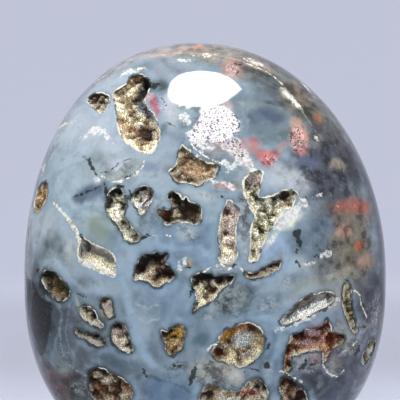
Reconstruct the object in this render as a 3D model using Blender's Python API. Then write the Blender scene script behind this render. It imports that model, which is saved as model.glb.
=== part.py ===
"""Ocean jasper: a polished, freestanding stone with open pockets lined with crystals.

Metres, +Z up. The front of the stone faces -Y. The origin is the middle of the flat base.
"""
import math
import random

import bmesh
import bpy
from mathutils import Matrix, Vector
from mathutils.geometry import intersect_point_line

# Driving sizes of the polished stone.
WIDTH = 0.0722
DEPTH = 0.0480
HEIGHT = 0.0824
WIDEST_HEIGHT = 0.0358
LOW_REACH = 0.0380
TOP_LEAN = -0.0020

# Roundness of its curves: 2 is an ellipse, and more is fuller at the corners.
TOP_ROUNDNESS = 2.09
LOW_ROUNDNESS = 2.4
PLAN_ROUNDNESS = 2.3

TOP_REACH = HEIGHT - WIDEST_HEIGHT
BASE_ROUND = 0.0005
SEGMENTS = 40
RINGS = 28

# The front outlines are read as seen from this far in front of the stone, on a view of 400 pixels.
VIEW_DISTANCE = 0.55
VIEW_X = -0.001
VIEW_Z = 0.051
VIEW_MIDDLE = 200
PIXEL = 0.0002

# How each crust sits in its pocket.
CRUST_GAP = 0.0003
CRUST_THICKNESS = 0.0006
MOUTH_CLEARANCE = 0.0016
CELLS_ACROSS = 2.3
SMALLEST_CRYSTAL = 0.0015
LARGEST_CRYSTAL = 0.0034
JITTER = 0.22

# Pocket name: depth, druse, and the mouth's outline in view pixels.
FRONT_POCKETS = {
    "gold_shoulder": (0.0036, "gold_druse", [
        (113, 92), (121, 87), (127, 84), (131, 76), (139, 74), (147, 78), (152, 84), (147, 93),
        (144, 101), (149, 110), (156, 118), (159, 127), (160, 139), (153, 149), (146, 155),
        (139, 150), (122, 138), (118, 128), (116, 108)]),
    "shoulder_notch": (0.0020, "brown_druse", [
        (86, 100), (92, 93), (104, 93), (109, 97), (109, 104), (105, 110), (101, 114), (95, 109)]),
    "left_rim_slit": (0.0016, "gold_druse", [
        (46, 181), (48, 186), (47, 198), (43, 206), (38, 212), (34, 212), (34, 204), (37, 191),
        (40, 185)]),
    "grey_crescent": (0.0026, "white_druse", [
        (81, 235), (87, 241), (96, 246), (107, 250), (114, 257), (116, 266), (114, 275),
        (105, 271), (93, 264), (83, 261), (78, 257), (80, 246)]),
    "twin_left": (0.0026, "olive_druse", [
        (107, 198), (110, 190), (115, 188), (121, 187), (125, 199), (127, 205), (123, 214),
        (128, 222), (137, 233), (142, 237), (138, 242), (130, 243), (124, 239), (120, 230),
        (116, 223), (109, 216), (106, 208)]),
    "twin_right": (0.0024, "olive_druse", [
        (131, 199), (135, 192), (140, 187), (147, 186), (153, 190), (153, 198), (149, 207),
        (144, 213), (140, 215), (136, 207)]),
    "dark_maple": (0.0028, "brown_druse", [
        (156, 209), (167, 210), (173, 208), (172, 202), (167, 199), (168, 194), (173, 192),
        (179, 194), (183, 201), (186, 196), (190, 203), (196, 204), (201, 207), (201, 223),
        (194, 225), (186, 221), (178, 222), (168, 225), (161, 219)]),
    "bronze_shield": (0.0016, "gold_druse", [
        (182, 143), (188, 151), (198, 159), (209, 163), (220, 166), (217, 173), (211, 179),
        (204, 181), (200, 186), (193, 184), (182, 183), (174, 180), (169, 172), (175, 167),
        (178, 157)]),
    "rose_column": (0.0020, "cream_druse", [
        (226, 202), (231, 201), (236, 207), (240, 211), (237, 220), (235, 232), (235, 241),
        (237, 258), (230, 265), (219, 261), (221, 246), (218, 240), (221, 220)]),
    "pepper_fork": (0.0026, "olive_druse", [
        (246, 177), (252, 171), (261, 170), (262, 177), (259, 188), (258, 197), (264, 199),
        (274, 196), (283, 191), (295, 190), (298, 196), (293, 202), (291, 209), (282, 211),
        (277, 219), (270, 229), (264, 239), (260, 252), (255, 263), (249, 261), (251, 250),
        (251, 235), (254, 222), (253, 210), (248, 199), (244, 189)]),
    "brown_star": (0.0030, "brown_druse", [
        (133, 279), (137, 264), (143, 255), (150, 254), (157, 252), (162, 255), (168, 252),
        (164, 263), (173, 270), (176, 276), (171, 280), (163, 283), (158, 288), (152, 285),
        (147, 280), (137, 281)]),
    "kite": (0.0026, "cream_druse", [
        (190, 278), (199, 273), (208, 273), (216, 277), (226, 276), (236, 275), (229, 284),
        (221, 290), (216, 298), (206, 305), (198, 308), (192, 315), (195, 304), (198, 298),
        (195, 291)]),
    "kite_tail": (0.0015, "brown_druse", [
        (244, 273), (250, 273), (257, 273), (263, 268), (271, 264), (278, 262), (282, 260),
        (278, 269), (270, 274), (259, 278), (250, 279)]),
    "amber_claw": (0.0026, "gold_druse", [
        (161, 330), (167, 333), (172, 328), (179, 325), (185, 328), (185, 335), (183, 343),
        (182, 350), (176, 354), (169, 355), (165, 349), (166, 344), (162, 338)]),
    "honey_basin": (0.0036, "gold_druse", [
        (218, 340), (226, 330), (238, 325), (252, 323), (261, 330), (264, 337), (265, 345),
        (260, 354), (253, 363), (243, 367), (233, 364), (224, 363), (214, 358), (211, 353),
        (216, 347)]),
    "foot_basin": (0.0034, "cream_druse", [
        (199, 396), (206, 386), (216, 385), (226, 391), (237, 393), (246, 385), (253, 378),
        (261, 379), (267, 388), (268, 400), (261, 412), (244, 419), (222, 419), (204, 410)]),
    "mahogany_arch": (0.0026, "brown_druse", [
        (284, 371), (284, 356), (288, 345), (293, 335), (304, 330), (316, 329), (324, 325),
        (327, 318), (331, 329), (333, 334), (344, 334), (345, 340), (343, 346), (333, 348),
        (329, 354), (325, 363), (322, 359), (324, 350), (309, 351), (300, 353), (293, 355),
        (291, 362), (292, 368), (288, 372)]),
    "mahogany_foot": (0.0024, "brown_druse", [
        (280, 377), (288, 378), (297, 382), (303, 390), (307, 401), (304, 411), (296, 413),
        (287, 406), (281, 394)]),
    "silver_slot": (0.0024, "white_druse", [
        (278, 322), (286, 314), (293, 309), (300, 301), (308, 296), (317, 294), (327, 292),
        (335, 295), (335, 301), (326, 307), (317, 312), (307, 317), (295, 321), (285, 326)]),
    "gold_sliver": (0.0014, "gold_druse", [
        (343, 284), (349, 283), (351, 289), (351, 302), (354, 317), (357, 333), (353, 334),
        (348, 322), (345, 314), (343, 303)]),
    "grey_bean": (0.0015, "olive_druse", [
        (371, 337), (376, 340), (374, 350), (369, 359), (364, 365), (360, 361), (364, 352)]),
    "moss_bean": (0.0018, "olive_druse", [
        (40, 275), (47, 270), (53, 271), (61, 279), (68, 287), (70, 294), (66, 300), (60, 302),
        (53, 297), (46, 288)]),
    "chain_first": (0.0016, "cream_druse", [
        (78, 308), (85, 305), (92, 309), (97, 315), (98, 321), (105, 326), (101, 329),
        (92, 325), (86, 320), (81, 315)]),
    "chain_second": (0.0016, "cream_druse", [
        (101, 303), (104, 298), (110, 297), (112, 304), (113, 311), (114, 316), (109, 319),
        (105, 315), (103, 309)]),
    "chain_third": (0.0020, "cream_druse", [
        (111, 329), (115, 324), (121, 323), (126, 327), (127, 334), (130, 342), (134, 350),
        (129, 353), (120, 351), (115, 345), (111, 339)]),
    "chain_fourth": (0.0014, "cream_druse", [
        (74, 328), (81, 331), (89, 334), (97, 334), (103, 339), (106, 344), (102, 346),
        (95, 346), (88, 342), (84, 338), (78, 336)]),
    "foot_cluster": (0.0028, "cream_druse", [
        (89, 372), (96, 368), (104, 369), (110, 374), (117, 375), (124, 381), (131, 387),
        (133, 394), (129, 403), (117, 408), (103, 404), (92, 398), (88, 384)]),
}

# Pocket name: the front pocket it is shaped like, its place across and up the back, turn in
# degrees, scale, depth and druse.
BACK_POCKETS = {
    "back_basin": ("honey_basin", (0.0090, 0.0260), 40, 1.25, 0.0036, "gold_druse"),
    "back_shoulder": ("gold_shoulder", (-0.0150, 0.0500), 160, 1.05, 0.0034, "cream_druse"),
    "back_fork": ("pepper_fork", (0.0150, 0.0500), 100, 0.90, 0.0026, "olive_druse"),
    "back_maple": ("dark_maple", (-0.0050, 0.0360), 25, 1.10, 0.0028, "brown_druse"),
    "back_arch": ("mahogany_arch", (-0.0190, 0.0240), 60, 0.90, 0.0026, "brown_druse"),
    "back_crescent": ("grey_crescent", (0.0020, 0.0660), -20, 1.00, 0.0024, "white_druse"),
    "back_claw": ("amber_claw", (-0.0050, 0.0140), 90, 1.20, 0.0024, "gold_druse"),
    "back_slot": ("silver_slot", (0.0240, 0.0330), 75, 1.00, 0.0020, "white_druse"),
    "back_star": ("brown_star", (-0.0265, 0.0395), 115, 0.90, 0.0022, "brown_druse"),
    "back_bean": ("moss_bean", (0.0210, 0.0150), 20, 1.10, 0.0018, "olive_druse"),
}

# Druse and stone: base colour, roughness.
FINISHES = {
    "chalcedony": ((0.36, 0.46, 0.56, 1.0), 0.08),
    "gold_druse": ((0.48, 0.33, 0.14, 1.0), 0.35),
    "brown_druse": ((0.16, 0.09, 0.05, 1.0), 0.35),
    "cream_druse": ((0.62, 0.54, 0.42, 1.0), 0.35),
    "olive_druse": ((0.33, 0.33, 0.22, 1.0), 0.35),
    "white_druse": ((0.68, 0.68, 0.66, 1.0), 0.30),
}


def make_material(name):
    """Makes a plain material from the table of finishes."""
    colour, roughness = FINISHES[name]
    material = bpy.data.materials.new(name)
    material.use_nodes = True
    shader = material.node_tree.nodes["Principled BSDF"]
    shader.inputs["Base Color"].default_value = colour
    shader.inputs["Roughness"].default_value = roughness
    shader.inputs["Metallic"].default_value = 0.0
    material.diffuse_color = colour
    return material


def make_collection(name):
    """Makes a collection under the scene's own."""
    collection = bpy.data.collections.new(name)
    bpy.context.scene.collection.children.link(collection)
    return collection


def lean(height):
    """Returns how far the middle of the stone leans to one side at a height above its widest."""
    return TOP_LEAN * max(height / TOP_REACH, 0.0) ** 2


def spread(height):
    """Returns the size of the level section there, as a share of the widest one."""
    if height > 0:
        reach, roundness = TOP_REACH, TOP_ROUNDNESS
    else:
        reach, roundness = LOW_REACH, LOW_ROUNDNESS
    return max(1 - abs(height / reach) ** roundness, 0.0) ** (1 / roundness)


def half_depth(x, z):
    """Returns how far the surface lies from the middle plane, in front of or behind (x, z)."""
    height = z - WIDEST_HEIGHT
    side = abs((x - lean(height)) / (WIDTH / 2)) ** PLAN_ROUNDNESS
    room = max(spread(height) ** PLAN_ROUNDNESS - side, 0.0)
    return DEPTH / 2 * room ** (1 / PLAN_ROUNDNESS)


def outward(point):
    """Returns the direction straight out of the stone at a point of its surface."""
    def fullness(x, y, z):
        height = z - WIDEST_HEIGHT
        across = abs((x - lean(height)) / (WIDTH / 2)) ** PLAN_ROUNDNESS
        through = abs(y / (DEPTH / 2)) ** PLAN_ROUNDNESS
        return across + through - spread(height) ** PLAN_ROUNDNESS

    step = 1e-5
    slope = []
    for axis in range(3):
        ahead = Vector(point)
        behind = Vector(point)
        ahead[axis] += step
        behind[axis] -= step
        slope.append(fullness(*ahead) - fullness(*behind))
    return Vector(slope).normalized()


def front_point(across, down):
    """Returns the point on the front of the stone that shows at a pixel of the view."""
    y = -DEPTH / 2
    for _ in range(20):
        nearness = 1 + y / VIEW_DISTANCE
        x = VIEW_X + (across - VIEW_MIDDLE) * PIXEL * nearness
        z = VIEW_Z + (VIEW_MIDDLE - down) * PIXEL * nearness
        y = (y - half_depth(x, z)) / 2
    return Vector((x, y, z))


def surface_frame(point):
    """Returns a matrix at a surface point: its Z is straight out, and its Y is uphill."""
    out = outward(point)
    across = Vector((0, 0, 1)).cross(out).normalized()
    uphill = out.cross(across)
    turn = Matrix((across, uphill, out)).transposed()
    return Matrix.Translation(point) @ turn.to_4x4()


def signed_area(outline):
    """Returns a flat outline's area, positive where it runs anticlockwise."""
    total = 0.0
    for i, point in enumerate(outline):
        before = outline[i - 1]
        total += before.x * point.y - point.x * before.y
    return total / 2


def anticlockwise(outline):
    """Returns the outline in anticlockwise order."""
    return outline if signed_area(outline) > 0 else outline[::-1]


def front_pocket(pixels):
    """Returns the frame at the middle of a front pocket's mouth, and the mouth's flat outline."""
    middle_x = sum(x for x, _ in pixels) / len(pixels)
    middle_y = sum(y for _, y in pixels) / len(pixels)
    frame = surface_frame(front_point(middle_x, middle_y))
    local = [frame.inverted() @ front_point(*pixel) for pixel in pixels]
    return frame, anticlockwise([point.to_2d() for point in local])


def back_pocket(shape, place, turn, scale):
    """Returns the frame and the mouth's outline of a pocket in the back, shaped like a front one."""
    x, z = place
    frame = surface_frame(Vector((x, half_depth(x, z), z)))
    _, outline = front_pocket(FRONT_POCKETS[shape][2])
    spin = Matrix.Rotation(math.radians(turn), 2)
    return frame, [spin @ point * scale for point in outline]


def wall_distance(point, outline):
    """Returns the distance from a point to the nearest side of an outline."""
    nearest = math.inf
    for i, end in enumerate(outline):
        start = outline[i - 1]
        _, share = intersect_point_line(point, start, end)
        foot = start.lerp(end, min(max(share, 0.0), 1.0))
        nearest = min(nearest, (point - foot).length)
    return nearest


def inset(outline, gap):
    """Moves an outline in by the gap, without the points that a narrow tip has no room for."""
    kept = []
    for i, point in enumerate(outline):
        arriving = (point - outline[i - 1]).normalized()
        leaving = (outline[(i + 1) % len(outline)] - point).normalized()
        first = Vector((-arriving.y, arriving.x))
        second = Vector((-leaving.y, leaving.x))
        mitre = (first + second) / (1 + first.dot(second))
        moved = point + mitre * gap
        if wall_distance(moved, outline) > gap * 0.98:
            kept.append(moved)
    return kept


def prism(name, outline, frame, low, high, collection):
    """Makes a hidden prism on an outline, from low to high above the frame's plane."""
    curve = bpy.data.curves.new(name + "_outline", "CURVE")
    curve.dimensions = "2D"
    curve.fill_mode = "BOTH"
    curve.extrude = (high - low) / 2
    spline = curve.splines.new("POLY")
    spline.points.add(len(outline) - 1)
    for target, point in zip(spline.points, outline):
        target.co = (point.x, point.y, 0.0, 1.0)
    spline.use_cyclic_u = True

    guide = bpy.data.objects.new(name + "_guide", curve)
    collection.objects.link(guide)
    guide.matrix_world = frame @ Matrix.Translation((0, 0, (low + high) / 2))
    bpy.context.view_layer.update()
    view = bpy.context.evaluated_depsgraph_get()
    mesh = bpy.data.meshes.new_from_object(guide.evaluated_get(view))
    mesh.name = name

    shape = bmesh.new()
    shape.from_mesh(mesh)
    bmesh.ops.remove_doubles(shape, verts=shape.verts, dist=1e-6)
    bmesh.ops.recalc_face_normals(shape, faces=shape.faces)
    shape.to_mesh(mesh)
    shape.free()

    solid = bpy.data.objects.new(name, mesh)
    collection.objects.link(solid)
    solid.matrix_world = guide.matrix_world
    bpy.data.objects.remove(guide)
    solid.hide_render = True
    solid.display_type = "WIRE"
    return solid


def stone_mesh():
    """Makes the polished body: a fuller ellipsoid, cut flat at the bottom, its edge rounded."""
    body = bmesh.new()
    bmesh.ops.create_uvsphere(body, u_segments=SEGMENTS, v_segments=RINGS, radius=1.0)
    for vert in body.verts:
        sx, sy, sz = vert.co
        reach, roundness = (TOP_REACH, TOP_ROUNDNESS) if sz > 0 else (LOW_REACH, LOW_ROUNDNESS)
        height = math.copysign(reach * abs(sz) ** (2 / roundness), sz)
        size = math.hypot(sx, sy) ** (2 / roundness)
        around = math.atan2(sy, sx)
        corner = abs(math.cos(around)) ** PLAN_ROUNDNESS + abs(math.sin(around)) ** PLAN_ROUNDNESS
        size *= corner ** (-1 / PLAN_ROUNDNESS)
        vert.co.x = WIDTH / 2 * size * math.cos(around) + lean(height)
        vert.co.y = DEPTH / 2 * size * math.sin(around)
        vert.co.z = height + WIDEST_HEIGHT

    geometry = body.verts[:] + body.edges[:] + body.faces[:]
    cut = bmesh.ops.bisect_plane(
        body, geom=geometry, plane_co=(0, 0, 0), plane_no=(0, 0, -1), clear_outer=True)
    rim = [item for item in cut["geom_cut"] if isinstance(item, bmesh.types.BMEdge)]
    bmesh.ops.edgeloop_fill(body, edges=rim)
    bmesh.ops.bevel(
        body, geom=rim, offset=BASE_ROUND, segments=2, profile=0.5, affect="EDGES")
    bmesh.ops.recalc_face_normals(body, faces=body.faces)

    mesh = bpy.data.meshes.new("stone")
    body.to_mesh(mesh)
    body.free()
    mesh.shade_smooth()
    mesh.set_sharp_from_angle(angle=math.radians(35))
    return mesh


def crystal_bed(name, outline, room, seed):
    """Makes a slab that covers an outline, its top a close field of points with room above."""
    rng = random.Random(seed)
    pitch = math.sqrt(signed_area(outline)) / CELLS_ACROSS
    pitch = min(max(pitch, SMALLEST_CRYSTAL), LARGEST_CRYSTAL)
    low_u = min(point.x for point in outline) - pitch
    low_v = min(point.y for point in outline) - pitch
    columns = math.ceil((max(point.x for point in outline) + pitch - low_u) / pitch)
    rows = math.ceil((max(point.y for point in outline) + pitch - low_v) / pitch)

    bed = bmesh.new()
    bmesh.ops.create_grid(bed, x_segments=columns, y_segments=rows, size=1.0)
    for vert in bed.verts:
        column = (vert.co.x + 1) / 2 * columns
        row = (vert.co.y + 1) / 2 * rows
        vert.co.x = low_u + (column + rng.uniform(-JITTER, JITTER)) * pitch
        vert.co.y = low_v + (row + rng.uniform(-JITTER, JITTER)) * pitch
    cells = bed.faces[:]
    rim = [edge for edge in bed.edges if edge.is_boundary]

    skirt = bmesh.ops.extrude_edge_only(bed, edges=rim)["geom"]
    for item in skirt:
        if isinstance(item, bmesh.types.BMVert):
            item.co.z -= CRUST_THICKNESS * 2
    hem = [item for item in skirt if isinstance(item, bmesh.types.BMEdge) and item.is_boundary]
    bmesh.ops.edgeloop_fill(bed, edges=hem)
    points = bmesh.ops.poke(bed, faces=cells)["verts"]
    for vert in points:
        vert.co.x += rng.uniform(-JITTER, JITTER) * pitch
        vert.co.y += rng.uniform(-JITTER, JITTER) * pitch
        vert.co.z = min(rng.uniform(0.35, 0.80) * room, pitch)
    bmesh.ops.recalc_face_normals(bed, faces=bed.faces)

    mesh = bpy.data.meshes.new(name)
    bed.to_mesh(mesh)
    bed.free()
    return mesh


def make_crust(name, druse, frame, outline, depth, seed, model, guides, materials):
    """Makes the crystals that grew on the floor of one pocket."""
    edge = inset(outline, CRUST_GAP)
    floor = CRUST_GAP - depth
    limit = prism(
        name + "_limit", edge, frame, floor, floor + CRUST_THICKNESS + depth, guides)
    room = -(floor + CRUST_THICKNESS)
    crust = bpy.data.objects.new(name, crystal_bed(name, edge, room, seed))
    model.objects.link(crust)
    crust.matrix_world = frame @ Matrix.Translation((0, 0, floor + CRUST_THICKNESS))
    trim = crust.modifiers.new("trim to the pocket", "BOOLEAN")
    trim.operation = "INTERSECT"
    trim.solver = "EXACT"
    trim.object = limit
    crust.data.materials.append(materials[druse])
    return crust


def clear_scene():
    """Removes whatever the opened scene holds."""
    for item in list(bpy.data.objects):
        bpy.data.objects.remove(item)


def build():
    """Builds the stone, cuts its pockets and sets a crust in each."""
    clear_scene()
    model = make_collection("ocean_jasper")
    cutters = make_collection("pocket_cutters")
    guides = make_collection("crust_limits")
    materials = {name: make_material(name) for name in FINISHES}

    stone = bpy.data.objects.new("stone", stone_mesh())
    stone.data.materials.append(materials["chalcedony"])
    model.objects.link(stone)

    pockets = {}
    for name, (depth, druse, pixels) in FRONT_POCKETS.items():
        pockets[name] = (depth, druse, *front_pocket(pixels))
    for name, (shape, place, turn, scale, depth, druse) in BACK_POCKETS.items():
        pockets[name] = (depth, druse, *back_pocket(shape, place, turn, scale))

    for seed, (name, (depth, druse, frame, outline)) in enumerate(pockets.items()):
        prism(name + "_cutter", outline, frame, -depth, MOUTH_CLEARANCE, cutters)
        crust = make_crust(
            "crust_" + name, druse, frame, outline, depth, seed, model, guides, materials)
        crust.parent = stone

    cut = stone.modifiers.new("open pockets", "BOOLEAN")
    cut.operation = "DIFFERENCE"
    cut.solver = "EXACT"
    cut.operand_type = "COLLECTION"
    cut.collection = cutters


build()
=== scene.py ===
# %% [markdown]
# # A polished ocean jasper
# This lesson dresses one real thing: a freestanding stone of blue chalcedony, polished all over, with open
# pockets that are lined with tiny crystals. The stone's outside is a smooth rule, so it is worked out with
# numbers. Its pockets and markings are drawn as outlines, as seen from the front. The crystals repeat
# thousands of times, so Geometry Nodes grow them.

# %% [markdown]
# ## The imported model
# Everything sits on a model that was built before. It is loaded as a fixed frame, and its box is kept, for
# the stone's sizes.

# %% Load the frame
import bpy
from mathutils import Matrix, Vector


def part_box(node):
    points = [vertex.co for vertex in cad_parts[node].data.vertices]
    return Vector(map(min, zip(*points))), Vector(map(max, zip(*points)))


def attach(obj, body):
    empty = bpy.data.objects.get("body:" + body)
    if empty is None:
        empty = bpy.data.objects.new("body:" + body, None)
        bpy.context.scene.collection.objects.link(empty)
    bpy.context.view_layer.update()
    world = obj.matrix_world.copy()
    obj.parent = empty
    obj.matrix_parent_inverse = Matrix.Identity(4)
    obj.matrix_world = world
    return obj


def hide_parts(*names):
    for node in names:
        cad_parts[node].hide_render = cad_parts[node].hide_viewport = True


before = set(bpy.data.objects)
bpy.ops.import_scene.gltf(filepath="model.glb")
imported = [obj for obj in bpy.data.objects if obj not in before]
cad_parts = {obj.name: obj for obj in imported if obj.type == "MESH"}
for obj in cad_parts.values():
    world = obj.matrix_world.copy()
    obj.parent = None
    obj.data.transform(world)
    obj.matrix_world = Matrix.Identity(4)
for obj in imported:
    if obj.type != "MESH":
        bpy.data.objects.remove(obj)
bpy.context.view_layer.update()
stone_low, stone_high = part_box("stone")
print("packed stone, metres:", tuple(stone_low), tuple(stone_high))

# %% Bring in the tools
import math
from collections import namedtuple
from dataclasses import dataclass
from types import SimpleNamespace

import bpy
import numpy as np
from mathutils import Vector, geometry, kdtree, noise

MM = 0.001
# Keeps a division away from zero.
TINY = 1e-12

# %% [markdown]
# ## The camera
# The photograph was taken straight at the stone's front. The camera stands level, 55 cm away,
# and its lens is chosen so that one pixel is 0.2 mm at the stone's widest plane. The numbers
# that place the camera also turn a pixel into a point on the stone, so they come first.

# %% Set the camera
VIEW_DISTANCE = 0.55
VIEW_X = -0.001
VIEW_Z = 0.051
VIEW_MIDDLE = 200
PIXEL = 0.2 * MM
SENSOR = 36.0

camera_data = bpy.data.cameras.new("front_view")
camera_data.sensor_width = SENSOR
camera_data.lens = SENSOR * VIEW_DISTANCE / (2 * VIEW_MIDDLE * PIXEL)
camera_data.clip_start = 0.01
camera = bpy.data.objects.new("front_view", camera_data)
camera.location = (VIEW_X, -VIEW_DISTANCE, VIEW_Z)
camera.rotation_euler = (math.radians(90), 0, 0)
bpy.context.scene.collection.objects.link(camera)
bpy.context.scene.camera = camera
bpy.context.scene.view_settings.view_transform = "Standard"
print("lens, mm:", round(camera_data.lens, 1))

# %% [markdown]
# ## The stone's shape as a rule
# A lapidary grinds such a stone to a soft egg, fuller than an ellipsoid at its corners. The rule
# is a superellipsoid: its sections are ellipses whose exponent is a little over 2, the upper and
# the lower half have their own height, and the top leans slightly to the left. It is the rule
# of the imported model, with its sizes read from the frame.

# %% Describe the stone's outside
WIDEST_HEIGHT = 35.8 * MM
LOW_REACH = 38.0 * MM
TOP_LEAN = -2.0 * MM
TOP_ROUNDNESS = 2.09
LOW_ROUNDNESS = 2.4
PLAN_ROUNDNESS = 2.3
HALF_WIDTH = (stone_high.x - stone_low.x) / 2
HALF_DEPTH = (stone_high.y - stone_low.y) / 2
TOP_REACH = stone_high.z - WIDEST_HEIGHT
SEARCH_STEPS = 40
SLOPE_STEP = 0.01 * MM


def lean(height):
    """Returns how far the stone's middle leans at a height above its widest section."""
    return TOP_LEAN * np.clip(height / TOP_REACH, 0, None) ** 2


def halves(height):
    """Returns the reach and the roundness of the half that each height belongs to."""
    up = height > 0
    return np.where(up, TOP_REACH, LOW_REACH), np.where(up, TOP_ROUNDNESS, LOW_ROUNDNESS)


def plan_level(share, roundness):
    """Returns how wide the stone still is at a share of its reach, to the plan's power."""
    return np.clip(1 - np.abs(share) ** roundness, 0, None) ** (PLAN_ROUNDNESS / roundness)


def fullness(points):
    """Returns a number below 0 inside the stone and above 0 outside it."""
    height = points[:, 2] - WIDEST_HEIGHT
    reach, roundness = halves(height)
    level = plan_level(height / reach, roundness)
    across = np.abs((points[:, 0] - lean(height)) / HALF_WIDTH) ** PLAN_ROUNDNESS
    through = np.abs(points[:, 1] / HALF_DEPTH) ** PLAN_ROUNDNESS
    return across + through - level


def outward(points):
    """Returns the direction straight out of the stone at surface points."""
    slopes = np.column_stack([
        fullness(points + shift) - fullness(points - shift) for shift in np.eye(3) * SLOPE_STEP])
    return slopes / np.maximum(np.linalg.norm(slopes, axis=1, keepdims=True), TINY)


def front_points(pixels):
    """Returns the points on the stone's front that show at pixels of the view."""
    pixels = np.asarray(pixels, float).reshape(-1, 2)
    y = np.full(len(pixels), -HALF_DEPTH)
    for _ in range(SEARCH_STEPS):
        nearness = 1 + y / VIEW_DISTANCE
        x = VIEW_X + (pixels[:, 0] - VIEW_MIDDLE) * PIXEL * nearness
        z = VIEW_Z + (VIEW_MIDDLE - pixels[:, 1]) * PIXEL * nearness
        y = (y - half_depth(x, z)) / 2
    return np.column_stack([x, y, z])


def half_depth(x, z):
    """Returns how far the surface lies from the middle plane at places seen from the front."""
    height = z - WIDEST_HEIGHT
    reach, roundness = halves(height)
    level = plan_level(height / reach, roundness)
    room = level - np.abs((x - lean(height)) / HALF_WIDTH) ** PLAN_ROUNDNESS
    return HALF_DEPTH * np.clip(room, 0, None) ** (1 / PLAN_ROUNDNESS)


# %% [markdown]
# ## A map of the surface
# A mesh is easy to make on flat paper, so the surface gets two round maps, like a globe's two
# polar maps: one is centred on the front, the other on the back. A place on a map is a direction
# from the stone's middle, and a ray that way finds the surface. Both maps end at the outline that
# the front view shows, where they share their points.

# %% Map directions to paper and back
FRONT = -1
BACK = 1
RIM_ANGLE = math.pi / 2
BASE_SOFTNESS = 0.012
SHORTEST_RAY = 0.5
LONGEST_RAY = 1.6
FLATTEST_RAY = 1e-6


def to_chart(points, side):
    """Returns the map places of surface points, on the front's or the back's map."""
    height = points[:, 2] - WIDEST_HEIGHT
    reach, _ = halves(height)
    ray = np.column_stack([
        (points[:, 0] - lean(height)) / HALF_WIDTH, points[:, 1] / HALF_DEPTH, height / reach])
    ray /= np.linalg.norm(ray, axis=1, keepdims=True)
    angle = np.arccos(np.clip(side * ray[:, 1], -1, 1))
    swell = angle / np.maximum(np.sin(angle), TINY)
    return np.column_stack([-side * ray[:, 0] * swell, ray[:, 2] * swell])


def from_chart(chart, side):
    """Returns the surface points at map places."""
    angle = np.linalg.norm(chart, axis=1)
    swell = np.sinc(angle / math.pi)
    ray = np.column_stack([-side * chart[:, 0] * swell, side * np.cos(angle), chart[:, 1] * swell])
    reach, roundness = halves(ray[:, 2])
    near = np.full(len(ray), SHORTEST_RAY)
    far = np.full(len(ray), LONGEST_RAY)
    for _ in range(SEARCH_STEPS):
        middle = (near + far) / 2
        spot = np.abs(ray * middle[:, None])
        plan = spot[:, 0] ** PLAN_ROUNDNESS + spot[:, 1] ** PLAN_ROUNDNESS
        out = plan > plan_level(spot[:, 2], roundness)
        far = np.where(out, middle, far)
        near = np.where(out, near, middle)
    base = WIDEST_HEIGHT / (LOW_REACH * np.maximum(-ray[:, 2], FLATTEST_RAY))
    length = blend_low(near, base)
    spot = ray * length[:, None]
    height = reach * spot[:, 2]
    x = HALF_WIDTH * spot[:, 0] + lean(height)
    return np.column_stack([x, HALF_DEPTH * spot[:, 1], height + WIDEST_HEIGHT])


def blend_low(first, second):
    """Returns the smaller of two lengths, rounded where they meet: the edge of the base."""
    share = np.clip(0.5 + (second - first) / (2 * BASE_SOFTNESS), 0, 1)
    return second + (first - second) * share - BASE_SOFTNESS * share * (1 - share)


check = front_points([(205, 300), (120, 140), (300, 220)])
print("map error, mm:", np.abs(from_chart(to_chart(check, FRONT), FRONT) - check).max() / MM)

# %% [markdown]
# ## The pockets
# Each pocket's mouth is an outline with only the corners that its shape needs, in pixels of the
# front view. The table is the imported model's own, so every dressed pocket lies where the solid
# one does. The photograph doesn't show the back: its pockets borrow the front's shapes, turned.

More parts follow.
